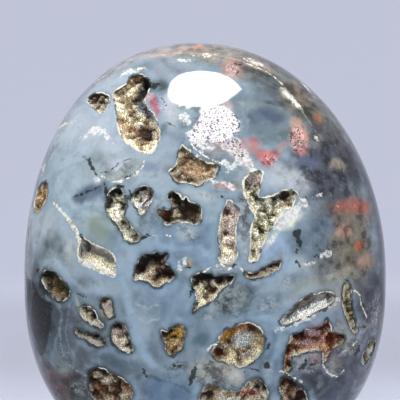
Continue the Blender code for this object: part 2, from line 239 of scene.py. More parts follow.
# %% List the pockets of the front
FRONT_POCKETS = {
    "gold_shoulder": (0.0036, "gold_druse", [
        (113, 92), (121, 87), (127, 84), (131, 76), (139, 74), (147, 78), (152, 84), (147, 93),
        (144, 101), (149, 110), (156, 118), (159, 127), (160, 139), (153, 149), (146, 155),
        (139, 150), (122, 138), (118, 128), (116, 108)]),
    "shoulder_notch": (0.0020, "brown_druse", [
        (86, 100), (92, 93), (104, 93), (109, 97), (109, 104), (105, 110), (101, 114), (95, 109)]),
    "left_rim_slit": (0.0016, "gold_druse", [
        (46, 181), (48, 186), (47, 198), (43, 206), (38, 212), (34, 212), (34, 204), (37, 191),
        (40, 185)]),
    "grey_crescent": (0.0026, "white_druse", [
        (81, 235), (87, 241), (96, 246), (107, 250), (114, 257), (116, 266), (114, 275),
        (105, 271), (93, 264), (83, 261), (78, 257), (80, 246)]),
    "twin_left": (0.0026, "olive_druse", [
        (107, 198), (110, 190), (115, 188), (121, 187), (125, 199), (127, 205), (123, 214),
        (128, 222), (137, 233), (142, 237), (138, 242), (130, 243), (124, 239), (120, 230),
        (116, 223), (109, 216), (106, 208)]),
    "twin_right": (0.0024, "olive_druse", [
        (131, 199), (135, 192), (140, 187), (147, 186), (153, 190), (153, 198), (149, 207),
        (144, 213), (140, 215), (136, 207)]),
    "dark_maple": (0.0028, "brown_druse", [
        (156, 209), (167, 210), (173, 208), (172, 202), (167, 199), (168, 194), (173, 192),
        (179, 194), (183, 201), (186, 196), (190, 203), (196, 204), (201, 207), (201, 223),
        (194, 225), (186, 221), (178, 222), (168, 225), (161, 219)]),
    "bronze_shield": (0.0016, "gold_druse", [
        (182, 143), (188, 151), (198, 159), (209, 163), (220, 166), (217, 173), (211, 179),
        (204, 181), (200, 186), (193, 184), (182, 183), (174, 180), (169, 172), (175, 167),
        (178, 157)]),
    "rose_column": (0.0020, "cream_druse", [
        (226, 202), (231, 201), (236, 207), (240, 211), (237, 220), (235, 232), (235, 241),
        (237, 258), (230, 265), (219, 261), (221, 246), (218, 240), (221, 220)]),
    "pepper_fork": (0.0026, "olive_druse", [
        (246, 177), (252, 171), (261, 170), (262, 177), (259, 188), (258, 197), (264, 199),
        (274, 196), (283, 191), (295, 190), (298, 196), (293, 202), (291, 209), (282, 211),
        (277, 219), (270, 229), (264, 239), (260, 252), (255, 263), (249, 261), (251, 250),
        (251, 235), (254, 222), (253, 210), (248, 199), (244, 189)]),
    "brown_star": (0.0030, "brown_druse", [
        (133, 279), (137, 264), (143, 255), (150, 254), (157, 252), (162, 255), (168, 252),
        (164, 263), (173, 270), (176, 276), (171, 280), (163, 283), (158, 288), (152, 285),
        (147, 280), (137, 281)]),
    "kite": (0.0026, "cream_druse", [
        (190, 278), (199, 273), (208, 273), (216, 277), (226, 276), (236, 275), (229, 284),
        (221, 290), (216, 298), (206, 305), (198, 308), (192, 315), (195, 304), (198, 298),
        (195, 291)]),
    "kite_tail": (0.0015, "brown_druse", [
        (244, 273), (250, 273), (257, 273), (263, 268), (271, 264), (278, 262), (282, 260),
        (278, 269), (270, 274), (259, 278), (250, 279)]),
    "amber_claw": (0.0026, "gold_druse", [
        (161, 330), (167, 333), (172, 328), (179, 325), (185, 328), (185, 335), (183, 343),
        (182, 350), (176, 354), (169, 355), (165, 349), (166, 344), (162, 338)]),
    "honey_basin": (0.0036, "gold_druse", [
        (218, 340), (226, 330), (238, 325), (252, 323), (261, 330), (264, 337), (265, 345),
        (260, 354), (253, 363), (243, 367), (233, 364), (224, 363), (214, 358), (211, 353),
        (216, 347)]),
    "foot_basin": (0.0034, "cream_druse", [
        (199, 396), (206, 386), (216, 385), (226, 391), (237, 393), (246, 385), (253, 378),
        (261, 379), (267, 388), (268, 400), (261, 412), (244, 419), (222, 419), (204, 410)]),
    "mahogany_arch": (0.0026, "brown_druse", [
        (284, 371), (284, 356), (288, 345), (293, 335), (304, 330), (316, 329), (324, 325),
        (327, 318), (331, 329), (333, 334), (344, 334), (345, 340), (343, 346), (333, 348),
        (329, 354), (325, 363), (322, 359), (324, 350), (309, 351), (300, 353), (293, 355),
        (291, 362), (292, 368), (288, 372)]),
    "mahogany_foot": (0.0024, "brown_druse", [
        (280, 377), (288, 378), (297, 382), (303, 390), (307, 401), (304, 411), (296, 413),
        (287, 406), (281, 394)]),
    "silver_slot": (0.0024, "white_druse", [
        (278, 322), (286, 314), (293, 309), (300, 301), (308, 296), (317, 294), (327, 292),
        (335, 295), (335, 301), (326, 307), (317, 312), (307, 317), (295, 321), (285, 326)]),
    "gold_sliver": (0.0014, "gold_druse", [
        (343, 284), (349, 283), (351, 289), (351, 302), (354, 317), (357, 333), (353, 334),
        (348, 322), (345, 314), (343, 303)]),
    "grey_bean": (0.0015, "olive_druse", [
        (371, 337), (376, 340), (374, 350), (369, 359), (364, 365), (360, 361), (364, 352)]),
    "moss_bean": (0.0018, "olive_druse", [
        (40, 275), (47, 270), (53, 271), (61, 279), (68, 287), (70, 294), (66, 300), (60, 302),
        (53, 297), (46, 288)]),
    "chain_first": (0.0016, "cream_druse", [
        (78, 308), (85, 305), (92, 309), (97, 315), (98, 321), (105, 326), (101, 329),
        (92, 325), (86, 320), (81, 315)]),
    "chain_second": (0.0016, "cream_druse", [
        (101, 303), (104, 298), (110, 297), (112, 304), (113, 311), (114, 316), (109, 319),
        (105, 315), (103, 309)]),
    "chain_third": (0.0020, "cream_druse", [
        (111, 329), (115, 324), (121, 323), (126, 327), (127, 334), (130, 342), (134, 350),
        (129, 353), (120, 351), (115, 345), (111, 339)]),
    "chain_fourth": (0.0014, "cream_druse", [
        (74, 328), (81, 331), (89, 334), (97, 334), (103, 339), (106, 344), (102, 346),
        (95, 346), (88, 342), (84, 338), (78, 336)]),
    "foot_cluster": (0.0028, "cream_druse", [
        (89, 372), (96, 368), (104, 369), (110, 374), (117, 375), (124, 381), (131, 387),
        (133, 394), (129, 403), (117, 408), (103, 404), (92, 398), (88, 384)]),
}

# %% List the pockets of the back
BACK_POCKETS = {
    "back_basin": ("honey_basin", (0.0090, 0.0260), 40, 1.25, 0.0036, "gold_druse"),
    "back_shoulder": ("gold_shoulder", (-0.0150, 0.0500), 160, 1.05, 0.0034, "cream_druse"),
    "back_fork": ("pepper_fork", (0.0150, 0.0500), 100, 0.90, 0.0026, "olive_druse"),
    "back_maple": ("dark_maple", (-0.0050, 0.0360), 25, 1.10, 0.0028, "brown_druse"),
    "back_arch": ("mahogany_arch", (-0.0190, 0.0240), 60, 0.90, 0.0026, "brown_druse"),
    "back_crescent": ("grey_crescent", (0.0020, 0.0660), -20, 1.00, 0.0024, "white_druse"),
    "back_claw": ("amber_claw", (-0.0050, 0.0140), 90, 1.20, 0.0024, "gold_druse"),
    "back_slot": ("silver_slot", (0.0240, 0.0330), 75, 1.00, 0.0020, "white_druse"),
    "back_star": ("brown_star", (-0.0265, 0.0395), 115, 0.90, 0.0022, "brown_druse"),
    "back_bean": ("moss_bean", (0.0210, 0.0150), 20, 1.10, 0.0018, "olive_druse"),
}

# %% [markdown]
# ## From corners to a broken edge
# A pocket's edge on the real stone is never straight: the saw and the polish stopped at whatever
# the crystals left. The corners are cut twice, the line is walked in short steps, and noise
# pushes each step in or out by a tenth of a millimetre. The seed is the place itself, so the
# edge comes out the same each time.

# %% Shape the pockets' mouths
STEP = 0.22 * MM
CORNER_SHARE = 0.80
CORNER_CUTS = 2
EDGE_ROUGHNESS = 0.24 * MM
WAVE_SIZE = 1.1 * MM
NICK_SIZE = 0.42 * MM
NICK_SHARE = 0.6
LOWEST_SURFACE = -9 * MM
HIGHEST_SURFACE = 2 * MM
SURFACE_STEPS = 26


@dataclass
class Pocket:
    """A pocket's frame on the surface, its mouth's outline there, its depth and its druse."""

    name: str
    side: int
    middle: np.ndarray
    corners: np.ndarray
    depth: float
    druse: str
    shape: str
    turn: float = 0.0
    scale: float = 1.0

    def __post_init__(self):
        self.out = outward(self.middle[None, :])[0]
        across = np.cross((0, 0, 1), self.out)
        self.across = across / np.linalg.norm(across)
        self.uphill = np.cross(self.out, self.across)

    def flat(self, points):
        """Returns the (across, uphill) places of points, and their height over the plane."""
        offset = points - self.middle
        return np.column_stack([offset @ self.across, offset @ self.uphill]), offset @ self.out

    def solid(self, flat, height):
        """Returns the points at flat places and heights over the pocket's plane."""
        flat_part = self.middle + flat[:, :1] * self.across + flat[:, 1:] * self.uphill
        return flat_part + height[:, None] * self.out

    def surface_height(self, flat):
        """Returns the height of the polished surface over the plane at flat places."""
        low = np.full(len(flat), LOWEST_SURFACE)
        high = np.full(len(flat), HIGHEST_SURFACE)
        for _ in range(SURFACE_STEPS):
            middle = (low + high) / 2
            outside = fullness(self.solid(flat, middle)) > 0
            high = np.where(outside, middle, high)
            low = np.where(outside, low, middle)
        return high


def turned_left(outline):
    """Returns the outline in anticlockwise order."""
    x, y = outline.T
    area = (x * np.roll(y, -1) - np.roll(x, -1) * y).sum()
    return outline if area > 0 else outline[::-1]


def cut_corners(outline):
    """Returns the outline with each corner cut off, twice."""
    for _ in range(CORNER_CUTS):
        after = np.roll(outline, -1, axis=0)
        early = outline * CORNER_SHARE + after * (1 - CORNER_SHARE)
        late = outline * (1 - CORNER_SHARE) + after * CORNER_SHARE
        outline = np.stack([early, late], axis=1).reshape(-1, 2)
    return outline


def walked(line, step, closed=True):
    """Returns points a step apart along a line."""
    path = np.vstack([line, line[:1]]) if closed else np.asarray(line, float)
    lengths = np.linalg.norm(np.diff(path, axis=0), axis=1)
    along = np.concatenate([[0], np.cumsum(lengths)])
    count = max(int(round(along[-1] / step)), 3)
    stops = np.linspace(0, along[-1], count + 1)
    if closed:
        stops = stops[:-1]
    return np.column_stack([np.interp(stops, along, path[:, axis]) for axis in range(2)])


def side_of(line):
    """Returns the direction to the left of a closed line at each of its points."""
    ahead = np.roll(line, -1, axis=0) - np.roll(line, 1, axis=0)
    left = np.column_stack([-ahead[:, 1], ahead[:, 0]])
    return left / np.maximum(np.linalg.norm(left, axis=1, keepdims=True), TINY)


def wander(places, size):
    """Returns smooth noise between -1 and 1 at places, for bumps of a size."""
    return np.array([noise.noise(Vector(place) / size) for place in places])


def broken_edge(pocket):
    """Returns the pocket's mouth as a fine, uneven outline on its plane."""
    line = walked(cut_corners(pocket.corners), STEP)
    places = pocket.solid(line, np.zeros(len(line)))
    push = wander(places, WAVE_SIZE) + NICK_SHARE * wander(places, NICK_SIZE)
    return line + side_of(line) * push[:, None] * EDGE_ROUGHNESS


def front_corners(name):
    """Returns the middle of a front pocket's mouth and a pocket with its plain corners."""
    depth, druse, pixels = FRONT_POCKETS[name]
    middle = front_points([np.mean(pixels, axis=0)])[0]
    pocket = Pocket(name, FRONT, middle, None, depth, druse, name)
    flat, _ = pocket.flat(front_points(pixels))
    pocket.corners = turned_left(flat)
    return pocket


def rotation(degrees):
    """Returns the flat turn by an angle, as a matrix that row vectors multiply."""
    angle = math.radians(degrees)
    return np.array([[math.cos(angle), math.sin(angle)], [-math.sin(angle), math.cos(angle)]])


pockets = [front_corners(name) for name in FRONT_POCKETS]
by_name = {pocket.name: pocket for pocket in pockets}
for name, (shape, (x, z), turn, scale, depth, druse) in BACK_POCKETS.items():
    middle = np.array([x, half_depth(np.array([x]), np.array([z]))[0], z])
    outline = by_name[shape].corners @ rotation(turn) * scale
    pockets.append(Pocket(name, BACK, middle, outline, depth, druse, shape, turn, scale))
for pocket in pockets:
    pocket.edge = broken_edge(pocket)
print("pockets:", len(pockets), "edge points:", sum(len(pocket.edge) for pocket in pockets))

# %% [markdown]
# ## Laying out points for the skin
# The skin is one mesh. Its points lie on the two maps: a staggered grid with a little jitter, fine
# on the front, coarser near the rim and on the back. Every pocket's edge and every thin vein is
# walked in short steps, and those steps are joined by edges that the triangles must keep. That
# makes the mouths crisp without a dense mesh everywhere.

# %% Choose the grids
RIM_POINTS = 560
FRONT_SPACING = 0.0104
SHOULDER_SPACING = 0.0172
SHOULDER_ANGLE = 1.18
BACK_SPACING = 0.0205
GRID_SEED = 11
EDGE_CLEARANCE = 0.17 * MM
WALL_STEP = 0.13 * MM
PIT_SPACING = 0.55 * MM
GRID_JITTER = 0.22
RIM_MARGIN = 0.006
NEAR_MOUTH = 1.5 * MM
FAR_BEHIND_MOUTH = -6 * MM
BATCH = 4000
TINY_SQUARE = 1e-18


def staggered(spacing, reach, rng):
    """Returns a jittered grid of staggered rows that covers a square around the middle."""
    rows = np.arange(-reach, reach, spacing * math.sqrt(3) / 2)
    columns = np.arange(-reach, reach, spacing)
    x, y = np.meshgrid(columns, rows)
    x[1::2] += spacing / 2
    grid = np.column_stack([x.ravel(), y.ravel()])
    return grid + rng.uniform(-GRID_JITTER, GRID_JITTER, grid.shape) * spacing


def edge_distance(places, line):
    """Returns the distance from flat places to a closed line, below 0 inside it."""
    along = np.roll(line, -1, axis=0) - line
    length = np.maximum((along ** 2).sum(axis=1), TINY_SQUARE)
    rise = along[:, 1] + (along[:, 1] == 0)
    next_height = np.roll(line[:, 1], -1)
    distances = np.empty(len(places))
    for first in range(0, len(places), BATCH):
        some = places[first:first + BATCH, None]
        part = some - line
        share = np.clip((part * along).sum(axis=2) / length, 0, 1)
        gap = np.sqrt(((part - share[..., None] * along) ** 2).sum(axis=2).min(axis=1))
        crossing = line[:, 0] + (some[..., 1] - line[:, 1]) / rise * along[:, 0]
        between = (some[..., 1] >= line[:, 1]) != (some[..., 1] >= next_height)
        inside = (between & (some[..., 0] < crossing)).sum(axis=1) % 2 == 1
        distances[first:first + BATCH] = np.where(inside, -gap, gap)
    return distances


def clear_of_pockets(chart, side):
    """Returns which map places lie outside every pocket's mouth, with room to spare."""
    points = from_chart(chart, side)
    keep = np.ones(len(chart), bool)
    for pocket in pockets:
        if pocket.side != side:
            continue
        reach = np.linalg.norm(pocket.edge, axis=1).max() + NEAR_MOUTH
        near = np.linalg.norm(points - pocket.middle, axis=1) < reach
        near &= (points - pocket.middle) @ pocket.out > FAR_BEHIND_MOUTH
        flat, _ = pocket.flat(points[near])
        keep[np.flatnonzero(near)] &= edge_distance(flat, pocket.edge) > EDGE_CLEARANCE
    return keep


# %% [markdown]
# ## One map's share of the skin
# A constrained Delaunay triangulation joins the points. Points inside a mouth are pushed in along
# the pocket's own axis, steeply at the edge, so that the rock has a real wall behind the druse.

# %% Sink the points of a pocket
WALL_WIDTH = 0.10 * MM
RING_SHARE = 0.75
PIT_SHARE = 0.4


def pocket_points(pocket):
    """Returns a pocket's flat points, edge first, and how deep each lies under the surface."""
    rng = np.random.default_rng(len(pocket.edge))
    ring = pocket.edge + side_of(pocket.edge) * WALL_STEP
    ring = ring[edge_distance(ring, pocket.edge) < -RING_SHARE * WALL_STEP]
    reach = np.abs(pocket.edge).max() + PIT_SPACING
    grid = staggered(PIT_SPACING, reach, rng)
    grid = grid[edge_distance(grid, pocket.edge) < -(WALL_STEP + PIT_SPACING * PIT_SHARE)]
    flat = np.vstack([pocket.edge, ring, grid])
    gap = np.clip(-edge_distance(flat, pocket.edge), 0, None)
    gap[:len(pocket.edge)] = 0
    return flat, pocket.depth * (1 - np.exp(-gap / WALL_WIDTH))


def closed_loop(first, count):
    """Returns the edges that join numbered points to a closed line."""
    return [(first + k, first + (k + 1) % count) for k in range(count)]


# %% Build the skin of one side
MERGE_DISTANCE = 1e-7
Side = namedtuple("Side", "points faces places depths rim")


def build_side(side, grids, lines):
    """Returns one side's points, triangles, map places, depths and the numbers of its rim."""
    places, sunk, axes = [], [], []

    def lay(chart, depth=0.0, axis=(0.0, 0.0, 0.0)):
        """Lays out points that sink along an axis, and returns the first one's number."""
        first = sum(map(len, places))
        places.append(chart)
        sunk.append(np.zeros(len(chart)) + depth)
        axes.append(np.tile(axis, (len(chart), 1)))
        return first

    turn = np.arange(RIM_POINTS) * 2 * math.pi / RIM_POINTS
    lay(np.column_stack([-side * np.cos(turn), np.sin(turn)]) * RIM_ANGLE)
    edges = closed_loop(0, RIM_POINTS)
    for pocket in pockets:
        if pocket.side == side:
            flat, depth = pocket_points(pocket)
            solid = pocket.solid(flat, pocket.surface_height(flat))
            edges += closed_loop(lay(to_chart(solid, side), depth, pocket.out), len(pocket.edge))
    for line in lines:
        keep = clear_of_pockets(line, side)
        first = lay(line)
        edges += [(first + k, first + k + 1) for k in range(len(line) - 1) if keep[k] and keep[k + 1]]
    for grid in grids:
        lay(grid[clear_of_pockets(grid, side)])

    flat = [Vector(place) for place in np.vstack(places)]
    made = geometry.delaunay_2d_cdt(flat, edges, [], 0, MERGE_DISTANCE)
    chart = np.array([tuple(place) for place in made[0]])
    origin = np.array([ids[0] if ids else -1 for ids in made[3]])
    depth = np.where(origin >= 0, np.concatenate(sunk)[origin], 0)
    axis = np.where((origin >= 0)[:, None], np.vstack(axes)[origin], 0)
    points = from_chart(chart, side) - axis * depth[:, None]
    rim = np.zeros(RIM_POINTS, int)
    on_rim = (origin >= 0) & (origin < RIM_POINTS)
    rim[origin[on_rim]] = np.flatnonzero(on_rim)
    return Side(points, np.array(made[2]), chart, depth, rim)


def side_grids(side):
    """Returns the grids of map places that fill one side."""
    rng = np.random.default_rng(GRID_SEED + side)
    margin = RIM_ANGLE - RIM_MARGIN
    if side == BACK:
        grid = staggered(BACK_SPACING, RIM_ANGLE, rng)
        return [grid[np.linalg.norm(grid, axis=1) < margin]]
    inner = staggered(FRONT_SPACING, RIM_ANGLE, rng)
    outer = staggered(SHOULDER_SPACING, RIM_ANGLE, rng)
    inner_angle = np.linalg.norm(inner, axis=1)
    outer_angle = np.linalg.norm(outer, axis=1)
    return [
        inner[inner_angle < SHOULDER_ANGLE],
        outer[(outer_angle > SHOULDER_ANGLE) & (outer_angle < margin)]]

# %% [markdown]
# ## What the polish shows
# Chalcedony is milky and takes its colour from what it grew around, so the pattern is painted in layers, as
# a restorer would paint it: soft clouds first, then frosty crystal masses, then thin veins, cracks and dark
# inclusions. Each entry is placed at a pixel of the front view. Soft entries are ellipses: the middle, the
# two radii, the angle of the first radius below the horizontal if it has one, the colour and how strongly it
# covers.
# Some clouds and arcs also carry painted light and shade: a brighter left side, a darker right side and a
# dark reflection near the right rim.

# %% Name the colours of the stone
STEEL_BLUE = (140, 160, 180)
DEEP_BLUE = (112, 136, 168)
NIGHT = (24, 25, 27)
SMOKE = (122, 132, 140)
SCARLET = (196, 60, 56)
CRIMSON = (200, 84, 108)
SALMON = (216, 164, 150)
BLUSH = (226, 196, 196)
AMBER = (208, 112, 40)
MAROON = (94, 62, 66)

# %% List the soft clouds
# Partly painted light and shade: the big pale clouds at the upper left and along the left edge also paint
# the brighter light there, the dark clouds on the right also paint the shade of that side, and the thin dark
# cloud at (354, 170) near the right rim is a painted dark reflection.
CLOUDS = [
    (92, 140, 66, 62, (206, 216, 236), 0.95), (40, 220, 30, 40, (196, 208, 226), 0.9),
    (70, 262, 34, 24, (186, 202, 226), 0.8), (100, 284, 30, 16, (170, 190, 216), 0.7),
    (350, 300, 36, 60, (128, 124, 124), 0.85), (330, 366, 44, 34, (122, 122, 126), 0.85),
    (352, 212, 30, 22, (122, 112, 110), 0.9), (46, 306, 26, 54, 5, (46, 52, 58), 0.85),
    (62, 388, 48, 24, (50, 46, 48), 0.85), (92, 326, 38, 30, 20, (84, 90, 92), 0.8),
    (312, 388, 44, 18, (62, 66, 76), 0.9), (252, 368, 40, 26, (88, 98, 106), 0.75),
    (226, 288, 30, 18, -20, (88, 102, 108), 0.75), (112, 190, 30, 14, (100, 116, 130), 0.6),
    (152, 230, 28, 20, (112, 128, 144), 0.5), (172, 346, 24, 18, (104, 114, 120), 0.5),
    (336, 350, 36, 30, (112, 112, 122), 0.6), (270, 110, 40, 30, 10, (100, 110, 124), 0.6),
    (146, 312, 20, 20, (118, 134, 142), 0.4), (60, 190, 36, 60, (170, 194, 216), 0.6),
    (180, 260, 44, 44, (134, 164, 200), 0.6), (203, 238, 16, 14, DEEP_BLUE, 0.6),
    (176, 300, 44, 30, (126, 153, 184), 0.5), (165, 392, 30, 16, (81, 114, 150), 0.7),
    (120, 358, 22, 14, (94, 118, 138), 0.5), (282, 177, 26, 13, (202, 210, 228), 0.9),
    (256, 172, 12, 10, (204, 206, 210), 0.7), (276, 246, 14, 18, 20, (164, 190, 226), 0.7),
    (250, 300, 44, 24, (122, 148, 175), 0.5), (318, 316, 30, 16, -20, (140, 164, 191), 0.6),
    (270, 350, 16, 34, (101, 126, 155), 0.5), (97, 228, 16, 20, 30, (151, 165, 151), 0.75),
    (53, 247, 12, 17, -10, SMOKE, 0.85), (86, 286, 9, 11, (117, 128, 134), 0.65),
    (28, 246, 6, 34, (150, 154, 160), 0.7), (95, 157, 12, 7, (150, 172, 176), 0.6),
    (88, 195, 16, 7, -20, (96, 116, 150), 0.9), (78, 199, 8, 5, -10, (60, 78, 108), 0.8),
    (148, 166, 10, 6, (120, 146, 178), 0.6), (158, 86, 11, 6, -6, (58, 68, 66), 0.9),
    (164, 130, 4, 9, 25, (112, 118, 116), 0.85), (172, 108, 10, 18, (214, 220, 236), 0.85),
    (162, 68, 34, 11, -8, (146, 154, 172), 0.85), (110, 84, 26, 12, -38, (196, 206, 224), 0.7),
    (60, 128, 12, 5, -50, (182, 184, 176), 0.6), (44, 152, 7, 30, 22, (172, 176, 176), 0.6),
    (168, 52, 26, 4, -8, (196, 176, 172), 0.85), (200, 50, 18, 6, 6, (164, 148, 138), 0.85),
    (198, 46, 5, 3, (196, 128, 96), 0.8), (212, 58, 16, 7, 10, (158, 148, 136), 0.75),
    (205, 120, 22, 20, (150, 166, 186), 0.6), (186, 110, 10, 10, (168, 190, 202), 0.6),
    (232, 68, 12, 12, (188, 143, 130), 0.9), (256, 64, 18, 5, 24, (171, 150, 143), 0.7),
    (270, 86, 18, 14, 20, (87, 97, 108), 0.85), (248, 106, 16, 7, -10, (136, 150, 157), 0.8),
    (276, 103, 13, 3, 4, (47, 56, 70), 0.8), (264, 117, 26, 9, 6, (84, 97, 122), 0.85),
    (272, 134, 16, 10, (97, 115, 125), 0.8), (300, 100, 26, 15, 46, (115, 104, 94), 0.85),
    (304, 112, 14, 6, 40, (68, 77, 73), 0.75), (290, 98, 14, 4, 48, (179, 174, 157), 0.8),
    (318, 118, 3, 4, -20, AMBER, 0.95), (318, 119, 7, 7, (130, 96, 61), 0.5),
    (332, 112, 14, 5, 55, (97, 90, 87), 0.7), (318, 128, 12, 8, 30, (106, 101, 97), 0.6),
    (332, 164, 34, 44, -10, (74, 76, 90), 0.95), (350, 132, 10, 34, -28, (84, 80, 90), 0.8),
    (306, 164, 12, 10, (96, 110, 142), 0.7), (316, 138, 7, 9, (137, 139, 141), 0.7),
    (338, 165, 9, 6, (172, 158, 146), 0.7), (354, 170, 5, 26, -16, (46, 46, 62), 0.8),
    (356, 207, 20, 9, 2, (172, 100, 88), 0.95), (354, 244, 24, 32, (126, 118, 104), 0.9),
    (344, 231, 8, 9, (188, 144, 134), 0.8), (360, 246, 6, 5, (190, 104, 66), 0.85),
    (368, 262, 9, 9, (186, 150, 132), 0.75), (312, 243, 18, 18, (104, 120, 142), 0.8),
    (322, 226, 14, 9, (106, 128, 154), 0.7), (326, 268, 16, 8, (122, 126, 126), 0.7),
    (376, 302, 12, 40, 6, (65, 65, 79), 0.9), (356, 309, 6, 14, -12, (85, 88, 99), 0.8),
    (336, 384, 34, 26, (89, 94, 113), 0.85), (364, 366, 16, 20, (94, 94, 113), 0.8),
    (305, 364, 14, 11, (128, 133, 143), 0.8), (334, 365, 8, 9, (134, 119, 113), 0.8),
    (228, 186, 10, 4, 8, (198, 110, 112), 0.85), (197, 195, 17, 7, 14, (208, 210, 222), 0.75),
    (214, 160, 15, 5, 22, (128, 138, 148), 0.9), (244, 212, 9, 15, 10, (132, 140, 152), 0.85),
    (246, 240, 9, 14, (170, 178, 184), 0.7), (289, 219, 17, 8, -36, (250, 250, 248), 0.95),
    (272, 240, 14, 4, -58, (236, 236, 232), 0.9), (300, 210, 10, 8, (206, 218, 232), 0.7),
    (233, 300, 19, 16, -30, (101, 117, 124), 0.85), (202, 338, 9, 11, (86, 115, 135), 0.85),
    (262, 358, 7, 10, 20, (91, 113, 119), 0.7), (224, 368, 22, 13, (148, 153, 155), 0.85),
    (236, 380, 9, 12, (160, 156, 144), 0.75), (236, 266, 26, 6, 4, (158, 172, 196), 0.7),
    (185, 232, 11, 10, (178, 190, 204), 0.8), (144, 219, 4, 6, (56, 67, 74), 0.7),
    (76, 340, 26, 30, 20, (94, 99, 110), 0.7), (92, 362, 20, 14, (93, 96, 107), 0.6),
    (30, 310, 6, 44, 4, (77, 75, 83), 0.8), (58, 384, 16, 14, 40, MAROON, 0.92),
    (66, 392, 10, 8, (99, 56, 61), 0.7), (50, 372, 6, 12, -24, (90, 67, 69), 0.7),
    (76, 392, 16, 12, (77, 80, 77), 0.75), (134, 396, 16, 10, (87, 87, 101), 0.6),
    (310, 388, 26, 14, (56, 58, 62), 0.9), (94, 168, 16, 12, (150, 164, 172), 0.6),
    (90, 191, 18, 7, -20, (92, 108, 132), 0.8), (128, 228, 14, 10, 30, (164, 176, 174), 0.8),
    (290, 182, 22, 14, 10, (196, 202, 216), 0.8), (332, 290, 26, 14, (164, 164, 156), 0.85),
    (318, 310, 22, 10, -26, (180, 188, 200), 0.7), (272, 284, 24, 15, (162, 178, 196), 0.85),
    (58, 268, 22, 14, 20, (180, 196, 214), 0.85), (126, 262, 14, 20, (172, 188, 210), 0.8),
    (188, 272, 14, 16, (112, 126, 132), 0.7), (212, 306, 20, 10, -10, (108, 118, 116), 0.75),
    (346, 338, 16, 16, (180, 174, 168), 0.8), (212, 370, 24, 14, (176, 174, 166), 0.8),
    (246, 184, 11, 12, (200, 198, 192), 0.85), (110, 288, 22, 9, 10, (184, 200, 218), 0.85),
    (142, 324, 12, 18, -20, (172, 190, 210), 0.8), (62, 364, 10, 14, -20, (140, 152, 158), 0.7),
    (288, 264, 20, 10, (184, 200, 216), 0.8), (306, 286, 16, 8, -20, (182, 188, 188), 0.8),
    (40, 222, 14, 14, (200, 208, 222), 0.8), (73, 250, 11, 13, (204, 212, 216), 0.85),
    (346, 274, 14, 8, (172, 166, 150), 0.8), (92, 376, 30, 12, (72, 66, 66), 0.6),
    (105, 190, 7, 11, (58, 72, 74), 0.85), (92, 312, 14, 12, 40, (80, 86, 84), 0.8),
    (236, 300, 18, 13, -30, (82, 96, 100), 0.8), (334, 300, 14, 10, -20, (196, 192, 184), 0.7),
    (296, 298, 18, 6, -28, (184, 192, 200), 0.7),
]

# %% List the crisp patches
ROSES = [
    (154, 104, 4, 12, -22, CRIMSON, 0.95), (157, 112, 3, 5, (196, 60, 84), 0.6),
    (149, 96, 5, 4, BLUSH, 0.7), (254, 142, 5, 5, SCARLET, 0.95), (252, 147, 8, 7, (214, 180, 180), 0.5),
    (228, 107, 5, 8, -20, BLUSH, 0.7), (269, 155, 12, 5, -6, (204, 112, 108), 0.9),
    (268, 161, 7, 6, (206, 120, 116), 0.9), (281, 147, 7, 4, -40, (198, 150, 144), 0.7),
    (299, 137, 10, 15, -6, SALMON, 0.95), (296, 122, 7, 5, (206, 164, 140), 0.7),
    (302, 150, 6, 5, (206, 128, 128), 0.7), (308, 264, 7, 3, -8, (214, 190, 190), 0.8),
    (316, 358, 6, 8, 20, (176, 120, 120), 0.7), (104, 299, 8, 3.4, (96, 66, 54), 0.9),
    (111, 306, 3, 9, -10, (60, 46, 40), 0.8), (107, 312, 6, 7, (206, 188, 168), 0.85),
    (78, 304, 2, 8, -8, (190, 200, 190), 0.8), (84, 336, 4, 3, (40, 48, 40), 0.9),
    (108, 346, 4, 3, 30, (70, 66, 52), 0.7), (188, 263, 3.6, 3.4, (226, 208, 160), 0.8),
    (188, 263, 2.4, 2.2, (140, 70, 30), 1.0), (218, 353, 10, 4.6, 12, (112, 62, 42), 0.9),
    (222, 351, 5, 2, 20, (196, 160, 140), 0.7), (240, 362, 12, 4, -10, (206, 190, 152), 0.8),
    (246, 364, 6, 2.4, -10, (104, 70, 46), 0.7), (222, 186, 10, 2.6, 10, (196, 110, 112), 0.9),
    (330, 350, 5, 9, 20, (130, 54, 50), 0.6), (316, 326, 10, 3, -20, (190, 130, 130), 0.6),
    (128, 350, 4, 3, 40, (206, 190, 160), 0.7), (236, 374, 7, 8, (232, 230, 224), 0.7),
    (220, 372, 9, 6, -20, (214, 196, 190), 0.6), (226, 146, 16, 7, 22, (226, 196, 202), 0.85),
    (238, 152, 12, 9, 40, (216, 190, 194), 0.85), (246, 162, 7, 7, 40, (220, 206, 210), 0.8),
    (243, 144, 8, 6, (206, 150, 156), 0.5), (212, 150, 10, 4, 20, (196, 180, 186), 0.6),
    (258, 150, 10, 6, 40, (206, 120, 118), 0.6),
]
WHITE_MASS = [
    (187, 132), (196, 128), (200, 118), (203, 108), (212, 106), (224, 106), (232, 111), (239, 122),
    (239, 130), (232, 136), (222, 140), (210, 143), (200, 144), (190, 141),
]
LENS = [
    (103, 175), (113, 172), (124, 164), (134, 158), (143, 160), (142, 167), (134, 173), (124, 180),
    (114, 182),
]
NIGHT_BAND = [
    (26, 276), (33, 281), (38, 293), (43, 299), (52, 303), (52, 312), (49, 335), (45, 353), (41, 357),
    (36, 349), (31, 323), (27, 300),
]
PINHOLES = [
    (218, 125, 25, 20), (195, 135, 10, 6, -10), (236, 148, 14, 8, 40), (160, 103, 6, 9, -30),
    (298, 139, 9, 14, -6), (269, 160, 9, 6), (232, 69, 7, 7), (376, 314, 4, 16, 4),
]
